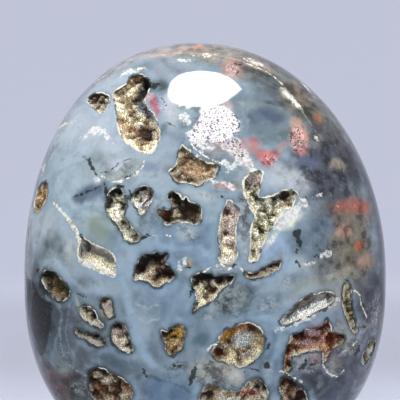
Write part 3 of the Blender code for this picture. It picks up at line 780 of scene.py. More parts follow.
FROSTS = [
    (131, 71, 11, 2.4, -14), (86, 136, 5, 1.6, -25), (97, 131, 10, 4), (107, 136, 5, 2.4, 48),
    (63, 125, 8, 1.6, -28), (44, 167, 1.6, 6, 18), (52, 140, 1.6, 9, 28), (186, 105, 6, 2.4, 10),
    (184, 117, 5, 4, 20), (188, 122, 4, 3), (226, 163, 4, 3), (231, 167, 5, 4), (226, 171, 3, 2),
    (239, 162, 4, 3, 30), (222, 183, 9, 1.8, 8), (233, 189, 5, 1.6, 30), (200, 154, 4, 1.6, -30),
    (290, 215, 13, 6, -38), (280, 226, 8, 4, -46), (272, 240, 9, 2.6, -58), (304, 202, 5, 5),
    (240, 154, 9, 6, 35), (228, 148, 8, 4, 20), (248, 163, 5, 5), (206, 146, 8, 3, 10),
    (236, 140, 6, 4, 30), (327, 254, 6, 3.4, -24), (308, 264, 6, 1.6, -8), (336, 207, 3, 1.2, -40),
    (318, 196, 4, 1.0, -30), (290, 97, 12, 2, 48), (298, 106, 4, 2, 30), (307, 88, 8, 1.4, 46),
    (316, 138, 2, 4), (180, 267, 2.4, 5), (184, 262, 2, 4, 20), (254, 62, 9, 1.4, 24), (205, 55, 8, 1.4),
    (182, 60, 6, 1.4), (300, 322, 22, 2.0, -24), (283, 325, 6, 2.6, -20), (332, 303, 7, 2.6, -30),
    (120, 168, 3, 2), (252, 170, 4, 3), (262, 172, 3, 3), (97, 180, 3, 3), (148, 199, 4, 6, 10),
    (104, 100, 5, 2),
]
GLASSES = [
    (204, 196, 10, 4, 10), (184, 229, 9, 5), (190, 236, 9, 6, 20), (240, 228, 6, 20, 8), (246, 250, 5, 10),
    (243, 205, 5, 9, -20), (286, 283, 8, 6, 20), (230, 298, 17, 12, -20), (209, 315, 10, 5, -18),
    (268, 305, 12, 8), (306, 362, 17, 12), (332, 370, 12, 7, 10), (222, 268, 14, 5, -14), (330, 276, 9, 4),
    (362, 326, 8, 7), (350, 346, 14, 10, -20), (236, 378, 9, 11), (214, 366, 14, 7, -20),
    (176, 366, 14, 6, -14), (267, 368, 6, 8), (66, 356, 5, 11, -28), (232, 205, 7, 6, 30),
    (376, 316, 6, 20, 4), (86, 388, 16, 9), (120, 172, 18, 6, -22), (338, 332, 9, 9), (222, 186, 11, 5, 10),
    (212, 376, 10, 8),
]

# %% List the veins and the cracks
VEINS = [
    (2.8, [(54, 203), (60, 210), (66, 216), (70, 223)]),
    (4.6, [(68, 219), (76, 230), (80, 241), (80, 250), (80, 258)]),
    (4.4, [(80, 260), (86, 264), (94, 267), (105, 273), (114, 275)]),
    (1.6, [(120, 181), (128, 178), (136, 174), (142, 168), (144, 161)]),
    (0.9, [(102, 176), (112, 182), (121, 181)]),
    (0.7, [(151, 236), (160, 235), (171, 236)]),
    (1.6, [(349, 290), (356, 291), (360, 296), (361, 304), (364, 311), (367, 318)]),
    (1.2, [(279, 371), (286, 372), (292, 377), (302, 382)]),
    (0.8, [(203, 273), (212, 266), (221, 264), (228, 269), (238, 266), (243, 271)]),
    (1.0, [(29, 222), (30, 236), (28, 250), (28, 264)]),
    (1.2, [(246, 63), (256, 67), (265, 71), (273, 76), (282, 84)]),
    (1.0, [(190, 141), (194, 148), (203, 155), (213, 160), (222, 164)]),
    (1.8, [(323, 354), (323, 365), (329, 374), (338, 377), (344, 370)]),
    (1.0, [(88, 86), (98, 80), (108, 75)]),
    (1.2, [(44, 172), (42, 163), (46, 150), (53, 137), (62, 126), (70, 122)]),
    (1.6, [(208, 350), (212, 345), (219, 345), (226, 350)]),
    (1.0, [(342, 352), (352, 346), (358, 340)]),
]
CRACKS = [
    (0.9, [(101, 173), (106, 172), (111, 170), (116, 166), (120, 163), (126, 160), (132, 158)]),
    (0.8, [(125, 178), (130, 176), (135, 173)]),
    (1.2, [(74, 197), (83, 194), (92, 190), (100, 186)]),
    (0.9, [(92, 87), (97, 83), (103, 79)]),
    (1.8, [(234, 63), (238, 65), (245, 64)]),
    (1.2, [(236, 75), (239, 71)]),
    (1.1, [(166, 122), (170, 124), (174, 126)]),
    (1.2, [(355, 333), (358, 341)]),
    (1.0, [(142, 205), (150, 196)]),
    (1.2, [(342, 276), (348, 282)]),
    (1.2, [(361, 297), (364, 306), (367, 313)]),
    (0.8, [(244, 372), (250, 368), (262, 372)]),
]
BLOTS = [
    (106, 191, 8, 2, 80), (119, 187, 5, 1.6, -10), (131, 196, 6, 1.6, 70), (91, 165, 9, 1.8, 64),
    (88, 158, 4, 1, 20), (193, 375, 10, 2.6, -69), (297, 233, 5, 4), (299, 241, 7, 2.4, 78),
    (297, 250, 5, 1.2, 82), (297, 262, 3, 2, 45), (300, 267, 3, 1.2, 60), (319, 255, 3.4, 1.2, -30),
    (311, 261, 3, 1, -20), (303, 366, 5, 2.4, -50), (306, 361, 2.2, 2), (358, 350, 5, 1.6, -68),
    (364, 327, 2, 1.4), (267, 366, 3.4, 3, 60), (145, 373, 4, 1.2, 60), (81, 236, 2.6, 1.6, 55),
    (173, 365, 2.2, 1.2, 40), (180, 366, 2, 1, -20), (222, 197, 1.6, 1.4), (268, 347, 3.4, 1.6, -60),
    (38, 270, 1.8, 1.6), (145, 237, 6, 1.8, -24), (119, 186, 4, 1.6), (127, 197, 3, 2, 30),
    (83, 296, 3, 1.4, 30), (192, 291, 2, 5, 20), (188, 267, 2.6, 1.2), (130, 350, 4, 1.6, 60),
    (233, 266, 4, 1.4, -10), (252, 263, 3, 1.4), (312, 364, 2, 1.4), (154, 86, 6, 3, -10),
    (208, 292, 2, 1.2), (60, 392, 5, 2, 30), (74, 388, 4, 2, -20),
]

# %% List the milky streams
STREAMS = [
    (9, (174, 200, 230), 0.75, [(112, 266), (120, 280), (127, 296), (130, 314), (134, 332), (143, 350),
        (152, 364)]),
    (6, (184, 204, 228), 0.7, [(60, 266), (70, 280), (84, 290), (100, 292), (114, 286)]),
    (7, (168, 194, 226), 0.6, [(118, 240), (128, 250), (132, 262), (128, 276)]),
    (4, (128, 150, 166), 0.7, [(46, 297), (56, 302), (60, 314), (59, 332), (54, 350), (51, 362)]),
    (1.6, (180, 192, 208), 0.7, [(58, 304), (62, 312), (60, 328), (61, 344), (66, 360), (76, 372),
        (90, 376)]),
    (1.4, (150, 166, 190), 0.7, [(70, 300), (68, 314), (66, 332), (70, 350), (80, 364)]),
    (8, (160, 188, 218), 0.65, [(262, 318), (276, 328), (281, 342), (274, 358), (268, 376), (262, 396)]),
    (7, (166, 192, 222), 0.65, [(236, 312), (252, 316), (270, 318), (288, 328), (306, 330), (322, 318)]),
    (6, (166, 192, 228), 0.7, [(262, 264), (268, 250), (278, 240), (288, 246), (290, 258), (284, 270),
        (268, 280)]),
    (5, (166, 192, 224), 0.6, [(150, 232), (160, 246), (178, 250), (196, 246), (208, 252)]),
    (1.2, (206, 218, 228), 0.6, [(136, 304), (148, 308), (160, 306)]),
    (1.2, (206, 218, 228), 0.6, [(138, 318), (150, 322), (162, 318)]),
    (4, (190, 206, 224), 0.7, [(70, 148), (86, 144), (104, 150), (122, 158)]),
    (3, (196, 210, 228), 0.6, [(58, 178), (66, 190), (72, 206), (84, 214), (100, 216)]),
    (3, (64, 84, 100), 0.6, [(120, 372), (134, 380), (146, 374), (160, 380), (176, 384), (190, 392)]),
    (2, (80, 100, 104), 0.6, [(196, 300), (206, 308), (220, 306), (232, 312), (248, 306), (256, 296)]),
    (2, (214, 206, 200), 0.8, [(150, 57), (180, 53), (210, 54), (240, 61), (262, 71)]),
    (1.4, (112, 108, 106), 0.7, [(170, 61), (200, 58), (232, 64), (256, 76), (276, 92)]),
    (1.6, (196, 190, 180), 0.6, [(268, 82), (284, 92), (300, 108), (312, 126)]),
]

# %% List the places along the outline
# The three arcs on the right, from -66 to 78 degrees, are partly painted shade: that side of the stone is
# darker.
ARCS = [
    (30, 78, 1.00, 1.75, (100, 94, 88), 0.85), (74, 100, 1.18, 1.75, (150, 138, 130), 0.85),
    (98, 128, 1.26, 1.75, (176, 168, 172), 0.7), (-34, 32, 1.18, 1.95, (66, 66, 78), 0.92),
    (-66, -30, 1.05, 1.9, (88, 90, 106), 0.85), (138, 204, 1.26, 1.8, (150, 154, 158), 0.65),
    (198, 236, 1.12, 1.85, (84, 76, 84), 0.85), (236, 262, 1.2, 1.85, (112, 106, 108), 0.6),
]

# %% List the mottled places
MOTTLES = [
    (299, 137, 14, 18, -6, 0.7), (268, 157, 14, 9, 0.7), (357, 206, 22, 8, 0.7),
    (332, 164, 40, 52, -10, 1.0), (302, 98, 30, 16, 46, 1.0), (352, 240, 34, 50, 0.9),
    (58, 388, 26, 20, 40, 1.0), (48, 150, 12, 40, 24, 0.6), (200, 54, 44, 10, 0.5),
    (262, 70, 26, 10, 26, 0.9), (340, 366, 30, 30, 0.7), (372, 310, 14, 40, 0.6), (310, 364, 24, 14, 0.9),
    (244, 215, 12, 30, 8, 0.8), (236, 300, 26, 20, -30, 0.8), (214, 372, 30, 18, 0.9),
    (84, 392, 26, 16, 1.0), (42, 312, 16, 48, 1.0), (205, 150, 26, 14, 20, 0.6), (150, 215, 18, 26, 0.5),
    (92, 326, 34, 10, 28, 0.6), (226, 186, 20, 8, 8, 0.7), (330, 262, 20, 10, -20, 0.7),
    (148, 98, 18, 20, -20, 0.5), (186, 112, 14, 16, 0.6), (54, 250, 14, 20, 0.4), (180, 372, 22, 12, 0.5),
]

# %% [markdown]
# ## Node trees as Python
# Materials and Geometry Nodes are both trees of nodes. Wiring them by hand takes a line for every
# link, so one small class wraps a socket: Python's own operators on it add Math nodes. Any other
# node comes from one method, which sets the node's settings first and then its sockets.

# %% Make a helper for node trees
class Value:
    """One output socket of a node tree. Python's operators on it add Math nodes."""

    def __init__(self, tree, socket):
        self.tree = tree
        self.socket = socket

    def math(self, operation, *values):
        """Returns the result of a Math node."""
        return self.tree.node("ShaderNodeMath", {"operation": operation}, dict(enumerate(values)))

    def __add__(self, other):
        return self.math("ADD", self, other)

    def __sub__(self, other):
        return self.math("SUBTRACT", self, other)

    def __rsub__(self, other):
        return self.math("SUBTRACT", other, self)

    def __mul__(self, other):
        return self.math("MULTIPLY", self, other)

    def __rtruediv__(self, other):
        return self.math("DIVIDE", other, self)

    def __neg__(self):
        return self.math("MULTIPLY", self, -1)

    __radd__ = __add__
    __rmul__ = __mul__

    def smooth(self, start, end):
        """Returns a soft step from 0 at start to 1 at end."""
        return self.tree.node(
            "ShaderNodeMapRange", {"interpolation_type": "SMOOTHSTEP"}, {0: self, 1: start, 2: end})


class Tree:
    """A node tree, and one method that adds any node to it."""

    def __init__(self, tree):
        self.tree = tree

    def node(self, kind, settings=None, inputs=None, output=0):
        """Adds a node, sets it up and returns one of its outputs."""
        made = self.tree.nodes.new(kind)
        for name, setting in (settings or {}).items():
            setattr(made, name, setting)
        for key, value in (inputs or {}).items():
            if isinstance(value, Value):
                self.tree.links.new(value.socket, made.inputs[key])
            else:
                made.inputs[key].default_value = value
        return Value(self, made.outputs[output]) if made.outputs else made

    def mix(self, share, first, second, blend="MIX"):
        """Returns a colour between two colours."""
        settings = {"data_type": "RGBA", "blend_type": blend}
        return self.node("ShaderNodeMix", settings, {0: share, 6: first, 7: second}, 2)

    def attribute(self, name, output="Fac"):
        """Returns a value or a colour that the mesh stores."""
        return self.node("ShaderNodeAttribute", {"attribute_name": name}, {}, output)


def linear(red, green, blue):
    """Returns a screen colour of 0 to 255 as the linear colour that shaders use."""
    levels = np.array([red, green, blue]) / 255
    low = levels / 12.92
    high = ((levels + 0.055) / 1.055) ** 2.4
    return (*np.where(levels <= 0.04045, low, high).tolist(), 1.0)


def new_material(name):
    """Makes an empty material and returns it with its tree."""
    material = bpy.data.materials.new(name)
    material.use_nodes = True
    material.node_tree.nodes.clear()
    return material, Tree(material.node_tree)


print("screen blue (150, 172, 198) is linear", [round(c, 3) for c in linear(150, 172, 198)])

# %% [markdown]
# ## Painting on the map
# The pattern belongs to the stone and not to the view, so pixels are first turned into map places.
# Near the outline a pixel covers more stone, which is allowed for up to a limit. Noise bends all
# places a little before anything is painted, so that no ellipse looks drawn. The back has no
# photograph: the front's pattern runs on over the outline, and fades into the same pattern,
# turned, so that the back is as rich as the front without repeating it point for point.

# %% Find pixels on the map
PIXEL_ON_MAP = 1 / 190
LARGEST_STRETCH = 3.5
BACK_TURN = 130
FADE_START = math.pi / 2
FADE_END = math.pi / 2 + 0.45
VEIN_STEP = 0.0065
PROBE = 0.7


def on_map(pixels):
    """Returns the map places of pixels of the front view."""
    return to_chart(front_points(pixels), FRONT)


def ellipse_frame(x, y, across, down, degrees=0):
    """Returns an ellipse's middle on the map and the matrix that turns offsets into radii."""
    angle = math.radians(degrees)
    along = np.array([math.cos(angle), math.sin(angle)])
    aside = np.array([-math.sin(angle), math.cos(angle)])
    arms = []
    for direction, radius in ((along, across), (aside, down)):
        ends = on_map(np.array([x, y]) + np.outer((-PROBE, PROBE), direction))
        arm = (ends[1] - ends[0]) / (2 * PROBE)
        stretch = np.linalg.norm(arm) / PIXEL_ON_MAP
        arms.append(arm * radius * min(1, LARGEST_STRETCH / max(stretch, TINY)))
    return on_map([(x, y)])[0], np.linalg.inv(np.array(arms))


# %% Measure how far places lie from the marks
ARC_TURN = 7
ARC_NEAR = 0.08
ARC_FAR = 0.2
FARTHEST_ELLIPSE = 9.0
FARTHEST_LINE = 99.0
LINE_ROOM = 0.06


def away_from(places, ellipse):
    """Returns how far places are from an ellipse's middle, 1 being its outline."""
    middle, matrix = ellipse_frame(*ellipse)
    return np.linalg.norm((places - middle) @ matrix, axis=1)


def soft_share(away, start, end):
    """Returns 1 up to a start, 0 beyond an end and a smooth slope between them."""
    share = np.clip((end - away) / (end - start), 0, 1)
    return share * share * (3 - 2 * share)


def arc_share(places, first, last, near, far):
    """Returns the share of a stretch along the outline, between two directions and two angles."""
    middle = (first + last) / 2
    toward = np.degrees(np.arctan2(places[:, 1], places[:, 0]))
    turn = np.abs((toward - middle + 180) % 360 - 180) - (last - first) / 2
    angle = np.linalg.norm(places, axis=1)
    inner = soft_share(-angle, -near - ARC_NEAR, -near + ARC_NEAR)
    outer = soft_share(angle, far - ARC_FAR, far + ARC_FAR)
    return soft_share(turn, -ARC_TURN, ARC_TURN) * inner * outer


def lay_colour(colours, share, colour):
    """Mixes a colour into colours by a share of each."""
    colours += (np.array(linear(*colour)[:3]) - colours) * share[:, None]


def nearest_ellipse(places, ellipses):
    """Returns the rough distance in pixels from places to the outline of the nearest ellipse."""
    nearest = np.full(len(places), FARTHEST_ELLIPSE)
    for ellipse in ellipses:
        nearest = np.minimum(nearest, (away_from(places, ellipse) - 1) * min(ellipse[2], ellipse[3]))
    return nearest


def search_tree(points):
    """Returns a tree that finds the nearest of some points quickly."""
    tree = kdtree.KDTree(len(points))
    for number, point in enumerate(points):
        tree.insert(point, number)
    tree.balance()
    return tree


def line_distance(places, lines):
    """Returns the distance from places to the nearest line, less half its width, in pixels."""
    nearest = np.full(len(places), FARTHEST_LINE)
    for width, pixels in lines:
        walk = walked(on_map(pixels), VEIN_STEP / 2, closed=False)
        tree = search_tree([(*place, 0) for place in walk])
        reach = np.linalg.norm(walk - walk.mean(axis=0), axis=1).max() + LINE_ROOM
        for number in np.flatnonzero(np.linalg.norm(places - walk.mean(axis=0), axis=1) < reach):
            gap = tree.find((*places[number], 0))[2] / PIXEL_ON_MAP - width / 2
            nearest[number] = min(nearest[number], gap)
    return nearest


# %% Paint the clouds and measure the marks
SOFT_EDGE = (0.45, 1.35)
SPONGE_EDGE = (0.7, 1.1)
MOTTLE_EDGE = (0.5, 1.3)
STREAM_EDGE = (0.1, 0.8)
LEAST_MOTTLE = 0.12
ARC_MOTTLE = 0.6
THICKEST_CHALK = 12.0
PANES = ((NIGHT_BAND, NIGHT, 1.2, 0.98), (LENS, (172, 182, 184), 0.8, 0.9))


def outline_distance(places, corners):
    """Returns the distance in pixels from places to an outline of pixels, below 0 inside it."""
    return edge_distance(places, turned_left(on_map(corners))) / PIXEL_ON_MAP


def pattern(places, bend, small_bend):
    """Returns the colours and the marks of the pattern at map places."""
    def bent(pixels, small_pixels):
        """Returns the places pushed by both noises, as many pixels as each is told."""
        return places + (bend * pixels + small_bend * small_pixels) * PIXEL_ON_MAP

    soft, crisp, ragged = bent(2.6, 1.2), bent(0.6, 0.8), bent(1.4, 2.2)
    colours = np.tile(linear(*STEEL_BLUE)[:3], (len(places), 1))
    mottle = np.full(len(places), LEAST_MOTTLE)
    for *arc, colour, strength in ARCS:
        share = arc_share(soft, *arc)
        lay_colour(colours, share * strength, colour)
        mottle = np.maximum(mottle, share * ARC_MOTTLE)
    for *ellipse, colour, strength in CLOUDS:
        lay_colour(colours, soft_share(away_from(soft, ellipse), *SOFT_EDGE) * strength, colour)
    for width, colour, strength, pixels in STREAMS:
        start, end = np.multiply(STREAM_EDGE, width)
        gap = line_distance(soft, [(0, pixels)])
        lay_colour(colours, soft_share(gap, start, end) * strength, colour)
    for corners, colour, softness, strength in PANES:
        gap = outline_distance(crisp, corners)
        lay_colour(colours, soft_share(gap, -softness, softness) * strength, colour)
    for *ellipse, colour, strength in ROSES:
        lay_colour(colours, soft_share(away_from(ragged, ellipse), *SOFT_EDGE) * strength, colour)
    for *ellipse, strength in MOTTLES:
        share = soft_share(away_from(soft, ellipse), *MOTTLE_EDGE)
        mottle = np.maximum(mottle, share * strength)
    pinholes = np.zeros(len(places))
    for ellipse in PINHOLES:
        pinholes = np.maximum(pinholes, soft_share(away_from(crisp, ellipse), *SPONGE_EDGE))
    thin = bent(0, 0.4)
    return {
        "cloud": colours, "mottle": mottle, "pinholes": pinholes,
        "chalk": np.minimum(outline_distance(crisp, WHITE_MASS), THICKEST_CHALK),
        "frost": nearest_ellipse(crisp, FROSTS), "glass": nearest_ellipse(crisp, GLASSES),
        "vein": line_distance(thin, VEINS),
        "crack": np.minimum(line_distance(thin, CRACKS), nearest_ellipse(crisp, BLOTS))}


def fade(chart):
    """Returns how much the turned pattern counts at front map places past the outline."""
    return 1 - soft_share(np.linalg.norm(chart, axis=1), FADE_START, FADE_END)


front_lines = [walked(on_map(pixels), VEIN_STEP, closed=False) for _, pixels in VEINS + CRACKS]
back_lines = []
for line in front_lines:
    turned = line @ rotation(-BACK_TURN)
    if np.linalg.norm(turned, axis=1).max() < math.pi - FADE_END:
        back_lines.append(turned)
print("lines on the front:", len(front_lines), "on the back:", len(back_lines))

# %% [markdown]
# ## Sewing the two sides together
# Both sides made the same points along the outline, so the back's copies are dropped and its
# triangles use the front's. A polished stone has no facets. The mesh is fine enough for its shape,
# but not for a mirror, so each corner on the polish gets the exact direction of the rule as its
# normal. The walls of the pockets and the base keep the normals that the triangles have.

# %% Sew the skin
POLISH_START = 1.4 * MM
SHARP_ANGLE = math.radians(35)
SHALLOWEST_PIT = 1e-7


def sewn(front, back):
    """Returns the whole skin's points, triangles and depths, and which back points it uses."""
    used = np.ones(len(back.points), bool)
    used[back.rim] = False
    moved = np.cumsum(used) - 1 + len(front.points)
    moved[back.rim] = front.rim
    points = np.vstack([front.points, back.points[used]])
    faces = np.vstack([front.faces, moved[back.faces]])
    return points, faces, np.concatenate([front.depths, back.depths[used]]), used


def mesh_from(name, points, faces):
    """Makes a mesh of triangles and an object for it."""
    mesh = bpy.data.meshes.new(name)
    mesh.from_pydata(points.tolist(), [], faces.tolist())
    mesh.update()
    piece = bpy.data.objects.new(name, mesh)
    bpy.context.scene.collection.objects.link(piece)
    return piece


def polish_normals(piece, depths):
    """Gives the polished corners of the skin the exact direction of the rule."""
    mesh = piece.data
    mesh.shade_smooth()
    mesh.set_sharp_from_angle(angle=SHARP_ANGLE)
    corners = np.zeros(len(mesh.loops), int)
    mesh.loops.foreach_get("vertex_index", corners)
    points = np.zeros(len(mesh.vertices) * 3)
    mesh.vertices.foreach_get("co", points)
    points = points.reshape(-1, 3)
    polished = (depths < SHALLOWEST_PIT) & (points[:, 2] > POLISH_START)
    whole = polished[corners].reshape(-1, 3).all(axis=1)
    normals = outward(points)[corners]
    normals[~np.repeat(whole, 3)] = 0
    mesh.normals_split_custom_set(normals.tolist())


front = build_side(FRONT, side_grids(FRONT), front_lines)
back = build_side(BACK, side_grids(BACK), back_lines)
points, faces, depths, back_used = sewn(front, back)
stone = mesh_from("polished_stone", points, faces)
polish_normals(stone, depths)
print("skin:", len(points), "points,", len(faces), "triangles")

# %% [markdown]
# ## Storing the pattern on the skin
# The painted layers go into the mesh as attributes: one colour and some distances to marks. The
# material turns the distances into crisp edges later, with its own finer noise. The distance to
# the nearest mouth is stored too, because most pockets have a thin pale rind around them.

# %% Store the pattern on the skin
BEND_SIZE = 2.2 * MM
SMALL_BEND_SIZE = 0.75 * MM
# How many noise sizes away the second direction's noise is read.
OTHER_NOISE = 7


def bends(places, size):
    """Returns smooth noise in two directions at places."""
    return np.column_stack([wander(places, size), wander(places + OTHER_NOISE * size, size)])


CREAM_RINDS = {
    "gold_shoulder": 0.9, "grey_crescent": 1.0, "pepper_fork": 0.9, "rose_column": 0.8,
    "bronze_shield": 0.7, "dark_maple": 0.5, "twin_right": 0.4, "twin_left": 0.3,
    "silver_slot": 0.5, "chain_first": 0.5, "left_rim_slit": 0.4, "honey_basin": 0.4,
    "shoulder_notch": 0.7, "mahogany_arch": 0.2, "kite": 0.3}
OTHER_RINDS = 0.15


def rinds(points):
    """Returns the distance in pixels to the nearest pocket's mouth, and how creamy its rind is."""
    mouths = [pocket.solid(pocket.edge, pocket.surface_height(pocket.edge)) for pocket in pockets]
    creams = np.repeat(
        [CREAM_RINDS.get(pocket.shape, OTHER_RINDS) for pocket in pockets], [*map(len, mouths)])
    tree = search_tree(np.vstack(mouths))
    found = [tree.find(point) for point in points]
    return np.array([hit[2] for hit in found]) / PIXEL, creams[[hit[1] for hit in found]]


def store(mesh, name, values):
    """Stores a colour or a number at every point of a mesh."""
    if values.ndim == 2:
        made = mesh.attributes.new(name, "FLOAT_COLOR", "POINT")
        made.data.foreach_set("color", np.column_stack([values, np.ones(len(values))]).ravel())
    else:
        made = mesh.attributes.new(name, "FLOAT", "POINT")
        made.data.foreach_set("value", values)


behind = slice(len(front.points), None)
chart = np.vstack([front.places, to_chart(points[behind], FRONT)])
bend = bends(points, BEND_SIZE)
small_bend = bends(points, SMALL_BEND_SIZE)
marks = pattern(chart, bend, small_bend)
turned_chart = back.places[back_used] @ rotation(BACK_TURN)
turned_marks = pattern(turned_chart, bend[behind], small_bend[behind])
share = fade(chart[behind])
for name, values in marks.items():
    part = share[:, None] if values.ndim == 2 else share
    values[behind] += (turned_marks[name] - values[behind]) * part
    store(stone.data, name, values)
for name, values in zip(("rind", "cream"), rinds(points)):
    store(stone.data, name, values)
store(stone.data, "depth", depths / MM)
print("stored:", sorted(marks))

# %% [markdown]
# ## The finish of the stone
# Polished chalcedony is glossy and a little translucent: light enters it, scatters for a millimetre or two
# and comes out soft. Subsurface scattering does that. The pattern's layers are mixed in order, like coats of
# paint, and some coats are painted light and shade: a painted shadow around the mouths, a dark line at the
# mouths that is partly painted shade, pinholes painted dark as their shade, and painted bounce light that
# lightens the lower part. Every distance gets fine noise before it is cut, so edges are ragged like crystal
# edges, and the chalky sponge gets pinholes, which a Voronoi texture spreads evenly. Each coat is a share
# and a screen colour. The two numbers of smooth() are where a mark or a noise begins to count and where it
# counts in full.

# %% Gather the noises and the marks
STONE_NOISES = {
    "wisp": (330.0, 4.0, 0.55), "patch": (1100.0, 2.0, 0.55), "grain": (3800.0, 2.0, 0.55),
    "blotch": (430.0, 3.0, 0.55), "speckle": (1500.0, 3.0, 0.65), "flow": (85.0, 1.5, 0.4)}
STONE_MARKS = (
    "mottle", "rind", "cream", "pinholes", "chalk", "glass", "frost", "vein", "crack", "depth")
FACET_SCALE = 2300.0


def stone_inputs(tree):
    """Returns the places on the stone, its noises and its marks, each under its own name."""
    places = tree.node("ShaderNodeTexCoord", {}, {}, "Object")
    noises = {
        name: tree.node("ShaderNodeTexNoise", {}, {
            "Vector": places, "Scale": scale, "Detail": detail, "Roughness": roughness})
        for name, (scale, detail, roughness) in STONE_NOISES.items()}
    facets = tree.node("ShaderNodeTexVoronoi", {}, {"Vector": places, "Scale": FACET_SCALE}, "Color")
    facet = tree.node("ShaderNodeSeparateColor", {}, {0: facets}, 0)
    marks = {name: tree.attribute(name) for name in STONE_MARKS}
    return SimpleNamespace(places=places, facet=facet, **noises, **marks)


def coated(tree, body, coats):
    """Returns a colour under several coats, each with its share and its screen colour."""
    for share, colour in coats:
        body = tree.mix(share, body, colour if isinstance(colour, Value) else linear(*colour))
    return body


def ragged(mark, *noises):
    """Returns a distance made uneven by noises, each with its reach in pixels."""
    for value, reach in noises:
        mark = mark + (value - 0.5) * reach
    return mark


# %% Mix the milky body
PALE_BLOTCH = (1.9, 1.8, 1.7, 1.0)
STONE_TONE = (0.75, 0.755, 0.69, 1.0)
BOUNCE_LIGHT_TONE = (1.0, 1.02, 0.89, 1.0)


def milky_body(tree, skin):
    """Returns the colour of the chalcedony: clouds, bands, wisps, halos, mottling and chalk."""
    calm = 1 - skin.mottle
    bent = skin.flow * 34 + skin.rind * 0.15
    band = bent.math("SINE", bent)
    halo = skin.rind.smooth(12.0, 5.0) * skin.rind.smooth(0.5, 5.0)
    halo = halo * (skin.wisp.smooth(0.38, 0.60) * 0.7 + 0.3)
    shadow = skin.rind.smooth(5.0, 0.0) * (skin.blotch.smooth(0.64, 0.40) * 0.7 + 0.3)
    body = coated(tree, tree.attribute("cloud", "Color"), [
        (band.smooth(0.0, 1.0) * calm * 0.16, (182, 202, 222)),
        (band.smooth(-0.1, -1.0) * calm * 0.16, (74, 94, 112)),
        (skin.wisp.smooth(0.52, 0.74) * calm * 0.40, (196, 210, 224)),
        (skin.wisp.smooth(0.46, 0.26) * 0.34, (70, 88, 106)),
        (halo * calm * 0.62, (158, 182, 208)),
        (shadow * (1.05 - skin.cream * 0.8) * 0.70, (44, 58, 60)),
        (skin.blotch.smooth(0.52, 0.36) * skin.mottle * 0.70, (30, 32, 36))])
    pale = skin.blotch.smooth(0.52, 0.68) * skin.mottle * 0.55
    body = tree.mix(pale, body, PALE_BLOTCH, "MULTIPLY")
    chalk = ragged(skin.chalk, (skin.blotch, 12), (skin.patch, 8), (skin.grain, 4))
    body = coated(tree, body, [
        (skin.speckle.smooth(0.62, 0.72) * (skin.mottle * 0.16 + 0.05), (226, 222, 212)),
        (skin.speckle.smooth(0.40, 0.30) * (skin.mottle * 0.55 + 0.08), (28, 30, 34)),
        (chalk.smooth(1.2, -1.2) * 0.96, (246, 243, 243))])
    # Painted light: the lower left and, most of all, the bottom of the stone are lightened toward the
    # bounce-light tone, as bounced light would light them.
    height = tree.node("ShaderNodeSeparateXYZ", {}, {0: skin.places}, 2)
    aside = tree.node("ShaderNodeSeparateXYZ", {}, {0: skin.places}, 0)
    low = height.smooth(0.062, 0.050) * aside.smooth(0.026, 0.012) * 0.42
    tone = tree.mix(low + height.smooth(0.026, 0.008) * 0.8, STONE_TONE, BOUNCE_LIGHT_TONE)
    return tree.mix(1 - skin.pinholes, body, tone, "MULTIPLY")


# %% Coat it with crystals and rinds
CELL_SCALE = 820.0


def crystal_coats(tree, skin, body):
    """Returns the colour with the glassy patches and the frost that the polish cut through."""
    cells = tree.node("ShaderNodeTexVoronoi", {"feature": "DISTANCE_TO_EDGE"}, {
        "Vector": skin.places, "Scale": CELL_SCALE})
    edge = (cells + (skin.grain - 0.5) * 0.12).smooth(0.10, 0.02)
    glass = ragged(skin.glass, (skin.patch, 9.0), (skin.grain, 2.0)).smooth(2.2, -2.4)
    frost = ragged(skin.frost, (skin.patch, 7.5), (skin.grain, 3.0)).smooth(0.6, -0.9)
    return coated(tree, body, [
        (glass * skin.blotch.smooth(0.42, 0.60) * 0.36, (168, 174, 174)),
        (glass * skin.blotch.smooth(0.52, 0.38) * 0.46, (66, 78, 82)),
        (glass * skin.facet.smooth(0.72, 0.80) * 0.14, (200, 206, 204)),
        (glass * skin.facet.smooth(0.26, 0.18) * 0.20, (50, 62, 64)),
        (glass * edge * skin.speckle.smooth(0.46, 0.62) * 0.26, (222, 226, 222)),
        (frost * (skin.speckle.smooth(0.36, 0.56) * 0.7 + 0.2), (234, 233, 226)),
        (frost * skin.facet.smooth(0.18, 0.12) * 0.3, (110, 116, 112))])


